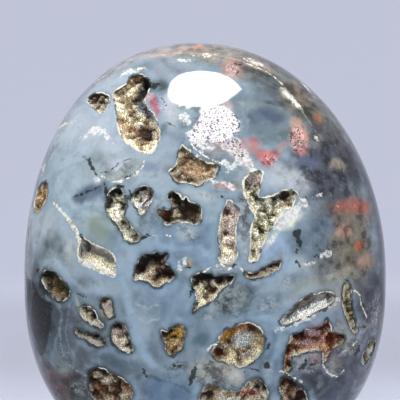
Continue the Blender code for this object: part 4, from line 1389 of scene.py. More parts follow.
def thin_coats(tree, skin, body, hole, crack):
    """Returns the colour with the sponge's specks and holes, the rinds, the veins and the cracks."""
    sponge = skin.pinholes
    creamy = skin.rind + (skin.blotch - 0.38 - skin.cream * 0.20) * 8.0
    creamy = (creamy + (skin.grain - 0.5) * 2.6).smooth(0.9, 0.1)
    # A dark line along the mouths where the rind isn't creamy: partly dark druse seen through the thin edge,
    # partly painted shade at the mouth.
    dark_rind_and_shade = skin.rind - (skin.blotch - 0.43 - skin.cream * 0.14) * 13.0
    dark_rind_and_shade = (dark_rind_and_shade + (skin.grain - 0.5) * 2.0).smooth(0.9, -0.1)
    vein = ragged(skin.vein, (skin.patch, 5.0), (skin.grain, 2.6)).smooth(0.30, -0.30)
    vein_colour = tree.mix(
        skin.facet.smooth(0.1, 0.45), linear(196, 180, 146), linear(252, 250, 234))
    return coated(tree, body, [
        (sponge * skin.speckle.smooth(0.54, 0.64) * 0.55, (238, 222, 220)),
        (sponge * (skin.patch.smooth(0.5, 0.3) * 0.30 + 0.05), (140, 124, 128)),
        # Painted shade: the pinholes are painted dark, as the shade inside them.
        (hole * 0.85, (52, 44, 48)),
        (creamy * (skin.speckle.smooth(0.32, 0.52) * 0.5 + 0.40), (242, 238, 216)),
        (dark_rind_and_shade * 0.75, (30, 38, 34)),
        (vein * (skin.speckle.smooth(0.34, 0.52) * 0.5 + 0.42), vein_colour),
        (crack.smooth(0.5, -0.5) * 0.90, (24, 36, 32)),
        (skin.depth.smooth(0.05, 0.3), (96, 92, 80))])


# %% Finish the stone
HOLE_SCALE = 2500.0
HOLE_SIZE = 0.33
HOLE_SPREAD = 1.3
HOLE_EDGE = 0.07
HOLE_DEPTH = 0.12 * MM
CRACK_SHARE = 0.6
BUMP_STRENGTH = 0.6
POLISH_ROUGHNESS, HOLE_ROUGHNESS = 0.045, 0.4
QUARTZ_IOR = 1.54
STONE_SPECULAR = 0.28
SCATTER_SHARE = 0.10
SCATTER_TINT = (1.0, 1.15, 1.3)
SCATTER_REACH = 0.9 * MM


def stone_finish():
    """Makes the material of the polished stone."""
    material, tree = new_material("polished_chalcedony")
    skin = stone_inputs(tree)
    holes = tree.node("ShaderNodeTexVoronoi", {}, {"Vector": skin.places, "Scale": HOLE_SCALE})
    hole = (holes - ((skin.patch - 0.5) * HOLE_SPREAD + HOLE_SIZE)).smooth(HOLE_EDGE, -HOLE_EDGE)
    hole = hole * skin.pinholes.smooth(0.30, 0.6)
    crack = ragged(skin.crack, (skin.speckle, 6.0), (skin.grain, 2.0))
    body = crystal_coats(tree, skin, milky_body(tree, skin))
    body = thin_coats(tree, skin, body, hole, crack)
    bump = tree.node("ShaderNodeBump", {}, {
        "Height": -hole - crack.smooth(0.2, -0.2) * CRACK_SHARE, "Distance": HOLE_DEPTH,
        "Strength": BUMP_STRENGTH})
    finish = tree.node("ShaderNodeBsdfPrincipled", {"subsurface_method": "RANDOM_WALK"}, {
        "Base Color": body, "Roughness": hole * HOLE_ROUGHNESS + POLISH_ROUGHNESS,
        "IOR": QUARTZ_IOR, "Normal": bump, "Specular IOR Level": STONE_SPECULAR,
        "Subsurface Weight": SCATTER_SHARE, "Subsurface Radius": SCATTER_TINT,
        "Subsurface Scale": SCATTER_REACH})
    tree.node("ShaderNodeOutputMaterial", {}, {"Surface": finish})
    return material


stone.data.materials.append(stone_finish())
nodes = stone.data.materials[0].node_tree.nodes
print("finish:", stone.data.materials[0].name, "nodes:", len(nodes))


# %% [markdown]
# ## What lines the pockets
# The druse in each pocket is a lumpy bed covered with fine crystals. Its colour changes within a few
# millimetres: cream where the crystals are clean, gold, brown or nearly black where iron and manganese
# stained them, and light and shade are painted in as well: paler lumps and up-facing walls, darker hollows
# and shadowed upper walls. Each bed gets three colours that noise mixes, and a few named places with their
# own colour, at pixels of the front view. Dark places are also the deeper ones.

# %% Name the colours of the druse
WHITE = (250, 250, 246)
PALE = (246, 241, 218)
CREAM = (238, 228, 192)
SAND = (208, 190, 154)
TAN = (174, 148, 108)
GOLD = (186, 140, 62)
RUST = (150, 82, 44)
UMBER = (98, 62, 36)
BROWN = (78, 50, 32)
COFFEE = (48, 32, 24)
INK = (24, 24, 24)
OLIVE = (118, 114, 76)
MOSS = (62, 72, 50)
ASH = (150, 150, 144)
STEEL = (104, 110, 120)
ROSY = (206, 160, 148)

# %% List the beds' colours
# Many near-black places sit at a pocket's upper edge: besides the druse's stains they are painted shadow
# under the upper wall, and several pale places at the lower edge are painted light on the wall that faces
# up.
BEDS = {
    "gold_shoulder": ((150, 124, 88), (220, 204, 168), PALE, [
        (127, 99, 7, 3, -20, (96, 84, 56), 0.7), (132, 110, 8, 4, 30, (104, 92, 64), 0.75),
        (145, 78, 8, 9, INK, 1.0), (141, 88, 8, 7, -50, INK, 1.0), (134, 95, 6, 4, -35, INK, 1.0),
        (140, 102, 9, 6, 40, (84, 92, 104), 1.0), (147, 111, 7, 4, 40, STEEL, 0.9),
        (142, 128, 9, 8, -10, BROWN, 1.0), (145, 130, 5, 6, COFFEE, 1.0), (132, 126, 5, 3, 20, RUST, 0.7),
        (122, 124, 4, 4, RUST, 0.5), (129, 108, 5, 4, 30, (120, 92, 60), 0.6),
        (138, 143, 2, 2, COFFEE, 0.8), (149, 150, 4, 3, OLIVE, 0.6), (124, 103, 3, 2, UMBER, 0.6),
        (131, 96, 2.4, 1.6, UMBER, 0.8), (124, 90, 2, 1.6, UMBER, 0.7), (133, 116, 4, 2, -30, COFFEE, 0.5)]),
    "shoulder_notch": (INK, BROWN, TAN, [
        (94, 98, 8, 5, COFFEE, 0.8), (107, 99, 4, 4, PALE, 0.85), (101, 103, 5, 3, 30, ASH, 0.7),
        (98, 112, 4, 3, WHITE, 0.8)]),
    "left_rim_slit": (BROWN, GOLD, CREAM, [
        (37, 206, 3, 6, 20, COFFEE, 0.7), (45, 188, 3, 6, CREAM, 0.7)]),
    "grey_crescent": (STEEL, ASH, WHITE, [
        (96, 246, 16, 4, 28, (176, 172, 158), 1.0), (97, 252, 17, 4, 28, (122, 114, 104), 1.0),
        (85, 246, 3, 9, (62, 58, 50), 0.95), (98, 262, 20, 5, 26, CREAM, 1.0),
        (98, 268, 18, 4, 24, WHITE, 0.8), (113, 260, 3, 6, 10, (110, 104, 100), 0.7)]),
    "twin_left": ((62, 68, 50), (212, 206, 172), WHITE, [
        (109, 196, 4, 12, 12, INK, 1.0), (118, 189, 10, 4, INK, 1.0),
        (126, 204, 4, 9, 10, (46, 54, 40), 0.95), (131, 224, 3, 9, 35, (46, 54, 40), 0.95),
        (137, 240, 7, 3, -20, INK, 0.95), (113, 212, 6, 6, PALE, 1.0), (123, 238, 8, 5, 20, PALE, 1.0),
        (119, 226, 3, 4, (110, 104, 76), 0.6)]),
    "twin_right": ((78, 80, 60), (190, 186, 164), WHITE, [
        (133, 193, 8, 3.4, -40, INK, 1.0), (143, 187, 8, 3, -5, INK, 1.0), (131, 202, 4, 7, PALE, 0.8),
        (150, 196, 5, 6, ROSY, 0.5), (140, 214, 5, 3, MOSS, 0.7)]),
    "dark_maple": (INK, (44, 38, 24), (96, 78, 52), [
        (163, 212, 7, 4, 30, (110, 48, 28), 0.8), (174, 218, 9, 3, (58, 58, 28), 0.8),
        (176, 213, 5, 4, 30, SAND, 0.6), (173, 197, 4, 4, (52, 54, 26), 0.8),
        (190, 208, 9, 9, (60, 46, 28), 0.8)]),
    "bronze_shield": ((116, 88, 56), (150, 122, 86), (186, 164, 128), [
        (178, 175, 4, 4, COFFEE, 0.95), (189, 180, 5, 3, COFFEE, 0.95), (175, 176, 4, 3, UMBER, 0.8),
        (204, 184, 6, 2, UMBER, 0.6), (216, 168, 6, 3, 10, PALE, 0.6),
        (182, 147, 4, 5, (116, 118, 96), 0.7), (199, 158, 14, 1.4, 24, PALE, 0.5),
        (178, 172, 3, 3, CREAM, 0.5)]),
    "rose_column": ((112, 84, 72), (206, 184, 166), PALE, [
        (226, 210, 2.4, 3, BROWN, 0.8), (227, 226, 4, 2.4, BROWN, 0.8),
        (226, 233, 4, 3, (74, 40, 34), 0.85), (221, 240, 3, 5, (70, 72, 44), 0.9),
        (226, 250, 7, 6, CREAM, 0.9), (228, 259, 8, 4, PALE, 0.9), (233, 263, 6, 2, -20, INK, 0.95),
        (234, 222, 4, 12, (214, 192, 186), 0.8), (232, 205, 5, 5, (220, 204, 204), 0.8)]),
    "pepper_fork": ((64, 62, 44), (162, 156, 120), PALE, [
        (255, 176, 8, 7, (230, 218, 208), 0.95), (250, 189, 3, 2, COFFEE, 0.8),
        (256, 180, 4, 5, 30, ROSY, 0.6), (286, 193, 10, 2.4, -18, COFFEE, 0.8),
        (286, 203, 8, 4, -15, (124, 92, 44), 0.9), (296, 191, 3, 3, INK, 0.8), (266, 210, 4, 2.4, INK, 0.8),
        (259, 214, 3, 2, MOSS, 0.8), (253, 242, 5, 6, OLIVE, 0.4), (256, 250, 5, 2.4, UMBER, 0.7),
        (251, 262, 4, 2, INK, 0.8), (262, 200, 6, 2.4, MOSS, 0.7)]),
    "brown_star": ((36, 22, 16), BROWN, TAN, [
        (143, 257, 12, 4, -15, INK, 0.95), (154, 257, 9, 5, 20, INK, 0.9),
        (167, 272, 8, 6, 20, COFFEE, 0.8), (138, 278, 6, 4, PALE, 0.95), (148, 269, 4, 8, 25, SAND, 0.7),
        (160, 281, 8, 3, -10, SAND, 0.7), (153, 281, 3, 3, COFFEE, 0.9), (148, 274, 7, 2, -20, CREAM, 0.8)]),
    "kite": ((44, 36, 24), (124, 106, 78), CREAM, [
        (206, 277, 18, 4, -3, INK, 1.0), (226, 279, 10, 5, -5, (34, 26, 20), 0.95),
        (193, 288, 3, 10, MOSS, 0.6), (212, 292, 6, 4, -40, UMBER, 0.7), (199, 298, 4, 6, 20, CREAM, 0.7),
        (210, 298, 6, 4, -45, (150, 128, 104), 0.6), (225, 286, 6, 3, -30, CREAM, 0.6)]),
    "kite_tail": (COFFEE, (82, 56, 36), GOLD, [
        (250, 276, 6, 2, RUST, 0.7), (268, 270, 8, 2, -25, CREAM, 0.7), (266, 266, 9, 2, -25, INK, 0.8),
        (278, 263, 4, 3, -30, BROWN, 0.7)]),
    "amber_claw": ((40, 26, 14), (88, 56, 22), (150, 104, 40), [
        (180, 332, 3, 9, 5, (230, 186, 70), 1.0), (173, 335, 7, 3, -20, (214, 168, 60), 0.95),
        (170, 344, 3, 4, (232, 196, 96), 0.9), (175, 342, 5, 3, -30, (246, 224, 150), 0.8),
        (161, 333, 4, 6, COFFEE, 0.9), (158, 331, 2.4, 3, SAND, 0.8), (176, 354, 8, 3, (62, 34, 20), 1.0)]),
    "honey_basin": ((84, 64, 34), (176, 148, 92), CREAM, [
        (226, 336, 10, 7, -40, (200, 146, 34), 1.0), (240, 327, 17, 6, -10, (168, 106, 36), 1.0),
        (256, 331, 7, 5, 20, (118, 78, 46), 0.85), (244, 342, 12, 8, -20, (226, 232, 224), 0.95),
        (259, 343, 5, 9, (228, 210, 164), 0.85), (219, 353, 8, 5, 20, (92, 40, 26), 1.0),
        (226, 348, 7, 2.4, 25, (226, 206, 190), 0.9), (246, 357, 8, 4, -10, (176, 164, 158), 0.85),
        (238, 365, 9, 3, (120, 98, 70), 0.85), (254, 355, 5, 5, (206, 196, 170), 0.8)]),
    "foot_basin": (BROWN, (222, 206, 176), PALE, [
        (212, 391, 11, 6, (126, 108, 60), 0.9), (206, 384, 7, 3, -20, INK, 0.85),
        (232, 386, 14, 10, PALE, 1.0), (246, 383, 5, 5, (190, 150, 90), 0.7),
        (260, 383, 8, 8, (84, 86, 66), 0.9), (265, 388, 3, 7, INK, 0.85),
        (250, 397, 12, 3, (174, 84, 70), 0.9), (228, 396, 5, 4, TAN, 0.7)]),
    "mahogany_arch": ((56, 24, 12), (130, 64, 28), (212, 166, 116), [
        (330, 322, 4, 8, (120, 22, 34), 0.95), (338, 340, 7, 6, (122, 54, 22), 0.8),
        (316, 334, 8, 4, (196, 158, 158), 0.9), (309, 344, 9, 4, (200, 160, 158), 0.9),
        (325, 341, 4, 3, (190, 150, 150), 0.7), (324, 356, 4, 7, (132, 26, 34), 0.8),
        (286, 366, 4, 8, (120, 84, 50), 0.7), (300, 347, 7, 3, -10, COFFEE, 0.8)]),
    "mahogany_foot": ((40, 22, 16), (86, 54, 34), (196, 160, 120), [
        (286, 374, 6, 3, 30, INK, 0.8), (300, 388, 6, 4, 30, (70, 40, 26), 0.8),
        (290, 394, 7, 6, (120, 88, 60), 0.6)]),
    "silver_slot": (STEEL, ASH, WHITE, [
        (302, 304, 22, 6, -26, (118, 114, 102), 1.0), (294, 308, 12, 2.4, -34, (48, 50, 44), 0.9),
        (306, 299, 10, 2, -20, (62, 62, 54), 0.8), (326, 297, 9, 4, -10, (150, 148, 136), 0.8),
        (308, 314, 22, 4, -26, WHITE, 1.0), (284, 320, 6, 4, -30, WHITE, 0.9)]),
    "gold_sliver": ((92, 82, 54), (186, 172, 128), CREAM, [
        (347, 288, 4, 5, CREAM, 0.7), (349, 304, 3, 8, 10, OLIVE, 0.6), (354, 328, 3, 6, COFFEE, 0.6)]),
    "grey_bean": (COFFEE, (140, 132, 110), PALE, [
        (373, 341, 3, 4, ASH, 0.7), (367, 357, 4, 6, 30, COFFEE, 0.6)]),
    "moss_bean": (INK, (66, 60, 34), (118, 96, 50), [
        (46, 274, 8, 4, 30, (40, 38, 30), 0.85), (44, 283, 3, 9, -30, (50, 46, 34), 0.7),
        (58, 294, 6, 4, 30, (140, 112, 52), 0.6), (66, 290, 3, 8, -20, COFFEE, 0.7)]),
    "chain_first": (COFFEE, SAND, WHITE, [
        (84, 304, 8, 3, 30, (90, 92, 84), 0.7), (93, 314, 6, 3.4, 45, COFFEE, 1.0),
        (79, 311, 5, 3, 40, CREAM, 0.9), (88, 324, 10, 2.4, 40, (216, 226, 214), 0.9),
        (98, 323, 5, 4, 30, PALE, 0.9)]),
    "chain_second": (COFFEE, SAND, PALE, [
        (104, 299, 7, 3, (84, 52, 40), 0.95), (112, 302, 3, 5, COFFEE, 0.8),
        (104, 308, 5, 4, 20, (210, 190, 172), 0.9), (108, 316, 5, 4, PALE, 0.95)]),
    "chain_third": (COFFEE, SAND, PALE, [
        (116, 326, 8, 3.4, -10, (52, 30, 24), 1.0), (110, 334, 2.6, 7, (60, 34, 28), 0.9),
        (117, 334, 5, 3, 20, (206, 180, 170), 0.9), (126, 334, 3, 7, -10, COFFEE, 0.9),
        (132, 348, 3, 6, -30, INK, 0.95), (118, 343, 6, 4, 30, (226, 210, 190), 0.95),
        (124, 351, 6, 4, 10, PALE, 0.9)]),
    "chain_fourth": ((30, 34, 26), (150, 142, 110), CREAM, [
        (88, 334, 10, 2.4, 22, INK, 0.95), (104, 342, 4, 5, 30, INK, 0.9), (94, 342, 6, 3, 20, PALE, 0.95),
        (78, 334, 4, 4, (52, 58, 50), 0.9)]),
    "foot_cluster": ((26, 18, 14), (112, 82, 56), (214, 190, 150), [
        (92, 372, 6, 4, INK, 0.8), (107, 372, 6, 4, BROWN, 0.7), (102, 383, 8, 4, 20, PALE, 0.7),
        (96, 392, 5, 6, RUST, 0.6), (117, 381, 6, 4, COFFEE, 0.7), (126, 390, 6, 5, RUST, 0.6),
        (112, 394, 8, 5, BROWN, 0.7), (122, 398, 5, 4, CREAM, 0.7)]),
}

# %% [markdown]
# ## The beds
# Each bed is a closed slab of even thickness. It starts just under the polish and falls away from
# the mouth in a quick slope, as druse does, and two sizes of noise raise its lumps. The lumps and
# the colour places are worked out at every point. On the back, a bed borrows its colours from the
# front pocket that has its shape.

# %% List the walls without crystals
SMOOTH_WALLS = {
    "grey_crescent": [(99, 250, 17, 6, 28), (86, 246, 5, 8, 0)],
    "silver_slot": [(300, 304, 22, 5, -26), (322, 296, 8, 3, -12)],
    "bronze_shield": [(198, 168, 16, 7, 10)],
}

SMOOTH_SHARE = {"bronze_shield": 0.35}

# %% Read the colours of a bed
LUMP_SIZE = 1.5 * MM
LUMP_HEIGHT = 0.85 * MM
KNOB_SIZE = 0.60 * MM
KNOB_HEIGHT = 0.34 * MM
SPECK_SIZE = 0.45 * MM
SPOT_BEND_SIZE = 0.7 * MM
SPOT_BEND = 2.2
SPOT_CORE = 0.55
SPOT_FADE = 0.75
RIM_WIDTH = 0.34 * MM
WALL_SHADE = 0.9 * MM
PATCH_CONTRAST = 2.4
PALEST_DARK = 90


def pixels_of(points):
    """Returns the pixels of the front view where points show."""
    nearness = 1 + points[:, 1] / VIEW_DISTANCE
    x = VIEW_MIDDLE + (points[:, 0] - VIEW_X) / (PIXEL * nearness)
    y = VIEW_MIDDLE - (points[:, 2] - VIEW_Z) / (PIXEL * nearness)
    return np.column_stack([x, y])


def spot_share(pixels, x, y, across, down, degrees=0):
    """Returns 1 in the middle of a soft elliptical spot and 0 outside it."""
    places = (pixels - (x, y)) @ rotation(-degrees) / (across, down)
    fall = np.clip((np.linalg.norm(places, axis=1) - SPOT_CORE) / SPOT_FADE, 0, 1)
    return 1 - fall ** 2 * (3 - 2 * fall)


def ragged_pixels(pocket, flat):
    """Returns the pixels that a bed's colours are listed for, bent by noise."""
    source = by_name[pocket.shape]
    borrowed = flat @ rotation(-pocket.turn) / pocket.scale
    pixels = pixels_of(source.solid(borrowed, np.zeros(len(borrowed))))
    places = pocket.solid(flat, np.zeros(len(flat)))
    bend = [wander(places, SPOT_BEND_SIZE), wander(places + 0.1, SPOT_BEND_SIZE)]
    return pixels + np.column_stack(bend) * SPOT_BEND


def bed_colours(pocket, flat, gap, lumps, facing):
    """Returns the linear colour of a bed, with painted light: paler on lumps and low walls, darker between
    and above.
    """
    dark, main, light, spots = BEDS[pocket.shape]
    places = pocket.solid(flat, np.zeros(len(flat)))
    depth_in = np.clip(gap, 0, None)
    # Partly painted light and shade: lumps come out paler and hollows darker, and walls that face up are
    # paler while those under the upper edge are darker, as a lamp above would light them.
    patchy_and_lit = lumps / LUMP_HEIGHT * 1.3 + 0.5 * wander(places + 0.3, SPECK_SIZE)
    patchy_and_lit += 0.7 * facing * np.exp(-depth_in / WALL_SHADE)
    colours = np.tile(linear(*main)[:3], (len(flat), 1))
    lay_colour(colours, np.clip(-patchy_and_lit * PATCH_CONTRAST - 0.25, 0, 1), dark)
    lay_colour(colours, np.clip(patchy_and_lit * PATCH_CONTRAST - 0.2, 0, 1), light)
    ragged_places = ragged_pixels(pocket, flat)
    for *spot, colour, strength in spots:
        share = spot_share(ragged_places, *spot) * strength
        leaning = patchy_and_lit if np.mean(colour) > PALEST_DARK else -patchy_and_lit
        lay_colour(colours, share * np.clip(1 + 2 * (1 - strength) * leaning, 0.35, 1), colour)
    rim = np.exp(-depth_in / RIM_WIDTH) * np.clip(0.35 + patchy_and_lit, 0, 1)
    lay_colour(colours, rim * np.clip(colours.mean(axis=1) / 0.12, 0.25, 1), PALE)
    return colours


# %% Cut the sheet of a bed
BED_SPACING = 0.26 * MM
BED_INSET = 0.04 * MM
BED_GRID_SHARE = 0.55
OUTSIDE_GAP = 0.004 * MM
BED_SEED = 7
MM_PER_METRE = 1000
BED_MERGE_DISTANCE = 1e-6


def bed_sheet(pocket):
    """Returns the flat points and the triangles of a sheet that fills a pocket's mouth."""
    rng = np.random.default_rng(len(pocket.edge) + BED_SEED)
    line = pocket.edge + side_of(pocket.edge) * BED_INSET
    grid = staggered(BED_SPACING, np.abs(pocket.edge).max() + BED_SPACING, rng)
    inner = edge_distance(grid, pocket.edge) < -(BED_INSET + BED_GRID_SHARE * BED_SPACING)
    places = [Vector(place) for place in np.vstack([line, grid[inner]]) * MM_PER_METRE]
    made = geometry.delaunay_2d_cdt(places, closed_loop(0, len(line)), [], 0, BED_MERGE_DISTANCE)
    flat = np.array([tuple(place) for place in made[0]]) / MM_PER_METRE
    faces = np.array(made[2])
    faces = faces[edge_distance(flat[faces].mean(axis=1), line) < -OUTSIDE_GAP]
    kept, faces = np.unique(faces, return_inverse=True)
    return flat[kept], faces.reshape(-1, 3)


def slab(top, faces, down):
    """Returns the points and faces of a closed slab under a sheet of triangles."""
    edges = np.vstack([faces[:, [0, 1]], faces[:, [1, 2]], faces[:, [2, 0]]])
    keys = set(map(tuple, edges))
    start, end = np.array([edge for edge in edges if (edge[1], edge[0]) not in keys]).T
    count = len(top)
    first = np.column_stack([end, start, start + count])
    second = np.column_stack([end, start + count, end + count])
    return np.vstack([top, top + down]), np.vstack([faces, faces[:, ::-1] + count, first, second])


# %% Lay the beds
BED_THICKNESS = 0.30 * MM
LIP_DROP = 0.16 * MM
SLOPE_WIDTH = 0.42 * MM
FLOOR_ROOM = 0.70 * MM
LEAST_ROOM = 0.25 * MM
FALL_SHARE = 0.8
DARK_DROP = 0.60 * MM
DARK_START = 0.35
DARKEST_PALE = 0.22
FULL_CRYSTAL_DROP = 0.6 * MM
SMALLEST_CRYSTAL = 0.35


def lay_bed(pocket):
    """Makes the bed of a pocket as a mesh with its colours and crystal sizes."""
    flat, faces = bed_sheet(pocket)
    gap = -edge_distance(flat, pocket.edge)
    places = pocket.solid(flat, pocket.surface_height(flat))
    smooth = np.zeros(len(flat))
    for spot in SMOOTH_WALLS.get(pocket.shape, []):
        smooth = np.maximum(smooth, spot_share(ragged_pixels(pocket, flat), *spot))
    lumps = LUMP_HEIGHT * wander(places, LUMP_SIZE) + KNOB_HEIGHT * wander(places, KNOB_SIZE)
    lumps *= 1 - smooth
    smooth *= SMOOTH_SHARE.get(pocket.shape, 1)
    rise = np.array([[0, BED_SPACING / 2]])
    facing = edge_distance(flat - rise, pocket.edge) - edge_distance(flat + rise, pocket.edge)
    facing = np.clip(facing / BED_SPACING, -1, 1)
    colours = bed_colours(pocket, flat, gap, lumps, facing)
    slope = 1 - np.exp(-np.clip(gap, 0, None) / (SLOPE_WIDTH * (1.1 + 0.9 * facing)))
    darkness = np.clip(1 - colours.mean(axis=1) / DARKEST_PALE, 0, 1)
    drop = LIP_DROP + (pocket.depth - FLOOR_ROOM - LIP_DROP) * slope * FALL_SHARE
    drop += (DARK_DROP * (darkness - DARK_START) - lumps) * slope
    drop = np.clip(drop, LIP_DROP * FALL_SHARE, pocket.depth - LEAST_ROOM)
    top = places - drop[:, None] * pocket.out
    points, all_faces = slab(top, faces, -pocket.out * BED_THICKNESS)
    bed = mesh_from("druse_" + pocket.name, points, all_faces)
    upper = bed.data.attributes.new("upper", "BOOLEAN", "FACE")
    upper.data.foreach_set("value", np.arange(len(all_faces)) < len(faces))
    crystal_size = np.clip(drop / FULL_CRYSTAL_DROP, SMALLEST_CRYSTAL, 1) * (1 - smooth)
    store(bed.data, "bed_colour", np.vstack([colours, colours]))
    store(bed.data, "crystal_size", np.tile(crystal_size, 2))
    # The bed's own tint is 0 except on smooth walls, so the druse finish paints the bed between the crystals
    # half way to the gap's dark: painted shade between the crystals.
    store(bed.data, "crystal_tint", np.tile(smooth * 0.5, 2))
    return bed


for pocket in pockets:
    pocket.crust = lay_bed(pocket)
print("beds:", sum(len(pocket.crust.data.polygons) for pocket in pockets), "triangles")

# %% [markdown]
# ## Growing the crystals
# Thousands of crystals stand on the beds, each a few tenths of a millimetre wide. Modelling them
# one by one is out of the question, and a bump texture would leave the outline of the druse
# smooth. Geometry Nodes scatter points over each bed and put a six-sided pyramid on each,
# upright on the slope, tilted and scaled at random. A bed needs no more than this one tree.

# %% Build the tree that grows crystals
CRYSTAL_SPACING = 0.25 * MM
CRYSTAL_WIDTH = 0.19 * MM
CRYSTAL_HEIGHT = 0.26 * MM
CRYSTAL_TILT = 0.50
CRYSTAL_SIDES = 6
CRYSTAL_ROOT = 0.2
WIDTH_RANGE = (0.7, 1.35)
HEIGHT_RANGE = (0.45, 1.3)
LARGEST_TURN = (1, 1, 3.14)
CROWDING = 3


def crystal_inputs(group):
    """Adds the sockets of the crystal tree, and returns its inputs in order."""
    kinds = {"Geometry": "Geometry"} | dict.fromkeys(("Spacing", "Width", "Height", "Tilt"), "Float")
    for name, kind in (kinds | {"Seed": "Int", "Finish": "Material"}).items():
        group.interface.new_socket(name, in_out="INPUT", socket_type="NodeSocket" + kind)
    group.interface.new_socket("Geometry", in_out="OUTPUT", socket_type="NodeSocketGeometry")
    # The last output of the input node is a blank one for new links.
    return list(group.nodes.new("NodeGroupInput").outputs)[:-1]


def crystal_tree():
    """Makes the node group that covers the upper faces of a bed with crystals."""
    group = bpy.data.node_groups.new("grow crystals", "GeometryNodeTree")
    tree = Tree(group)
    bed, spacing, width, height, tilt, seed, finish = (
        Value(tree, socket) for socket in crystal_inputs(group))

    def stored(kind, name):
        """Returns what the bed stores under a name."""
        return tree.node("GeometryNodeInputNamedAttribute", {"data_type": kind}, {"Name": name})

    def chance(low, high, number):
        """Returns a random number for each crystal."""
        return tree.node("FunctionNodeRandomValue", {"data_type": "FLOAT"}, {
            2: low, 3: high, "Seed": seed + number}, 1)

    scatter = group.nodes.new("GeometryNodeDistributePointsOnFaces")
    scatter.distribute_method = "POISSON"
    for name, value in {
            "Mesh": bed, "Selection": stored("BOOLEAN", "upper"), "Distance Min": spacing,
            "Density Max": CROWDING / (spacing * spacing), "Seed": seed}.items():
        group.links.new(value.socket, scatter.inputs[name])
    size = stored("FLOAT", "crystal_size")
    turns = tree.node("FunctionNodeRandomValue", {"data_type": "FLOAT_VECTOR"}, {
        "Min": tuple(-turn for turn in LARGEST_TURN), "Max": LARGEST_TURN, "Seed": seed + 1})
    tilted = tree.node("ShaderNodeVectorMath", {"operation": "MULTIPLY"}, {
        0: turns, 1: tree.node("ShaderNodeCombineXYZ", {}, {0: tilt, 1: tilt, 2: 1.0})})
    turned = tree.node("FunctionNodeRotateRotation", {"rotation_space": "LOCAL"}, {
        0: Value(tree, scatter.outputs["Rotation"]), 1: tilted})
    wide = width * size * chance(*WIDTH_RANGE, 2)
    tall = height * size * chance(*HEIGHT_RANGE, 3)
    crystal = tree.node("GeometryNodeMeshCone", {"fill_type": "NGON"}, {
        "Vertices": CRYSTAL_SIDES, "Radius Top": 0.0, "Radius Bottom": 1.0, "Depth": 1.0})
    rooted = tree.node("GeometryNodeTransform", {}, {
        "Geometry": crystal, "Translation": (0, 0, -CRYSTAL_ROOT)})
    planted = tree.node("GeometryNodeInstanceOnPoints", {}, {
        "Points": Value(tree, scatter.outputs["Points"]), "Instance": rooted, "Rotation": turned,
        "Scale": tree.node("ShaderNodeCombineXYZ", {}, {0: wide, 1: wide, 2: tall})})
    tinted = tree.node(
        "GeometryNodeStoreNamedAttribute", {"data_type": "FLOAT", "domain": "INSTANCE"},
        {"Geometry": planted, "Name": "crystal_tint", "Value": chance(0.0, 1.0, 4)})
    joined = group.nodes.new("GeometryNodeJoinGeometry")
    for part in (bed, tinted):
        group.links.new(part.socket, joined.inputs[0])
    real = tree.node("GeometryNodeRealizeInstances", {}, {0: Value(tree, joined.outputs[0])})
    dressed = tree.node("GeometryNodeSetMaterial", {}, {"Geometry": real, "Material": finish})
    tree.node("NodeGroupOutput", {}, {0: dressed})
    return group


# %% Prepare to grow them on a bed
def socket_names(group):
    """Returns the identifier of each named input of a node group."""
    items = group.interface.items_tree
    return {item.name: item.identifier for item in items if item.in_out == "INPUT"}


def grow(piece, group, inputs):
    """Runs a node group on a piece and keeps the result as the piece's own plain mesh."""
    modifier = piece.modifiers.new(group.name, "NODES")
    modifier.node_group = group
    names = socket_names(group)
    for name, value in inputs.items():
        modifier[names[name]] = value
    piece.update_tag()
    graph = bpy.context.evaluated_depsgraph_get()
    mesh = bpy.data.meshes.new_from_object(piece.evaluated_get(graph))
    piece.modifiers.clear()
    piece.data = mesh
    mesh.name = piece.name


crystals = crystal_tree()
print("inputs:", sorted(socket_names(crystals)))

# %% [markdown]
# ## The druse's finish
# Every crystal keeps one random number, so it can be a little lighter or darker than its neighbours. A few
# are painted nearly white, a painted glint where light catches a face, and a few nearly black, the painted
# shade of a gap between crystals that swallows it. That contrast is what makes druse glitter.

# %% Finish the druse
GRAIN_SCALE = 2600.0
GRAIN_DETAIL = 2.0
TINT_DARKEST, TINT_RANGE = 0.98, 0.6
GRAIN_DARKEST, GRAIN_RANGE = 0.75, 0.5
# A bed colour counts as dark below the first number and as clean above the second; dark bed colours are the
# druse's stains and its painted shade.
STAINED_AND_SHADED, CLEAN = 0.02, 0.30
GLINT_COLOUR = linear(250, 248, 238)
GLINT_START, GLINT_END, GLINT_SHARE = 0.86, 0.94, 0.45
GAP_SHADE_COLOUR = linear(40, 32, 24)
GAP_START, GAP_END, GAP_SHARE = 0.07, 0.13, 0.50
DRUSE_ROUGHNESS, CLEAN_POLISH, GRAIN_ROUGHNESS = 0.78, 0.45, 0.2
DRUSE_SPECULAR = 0.35


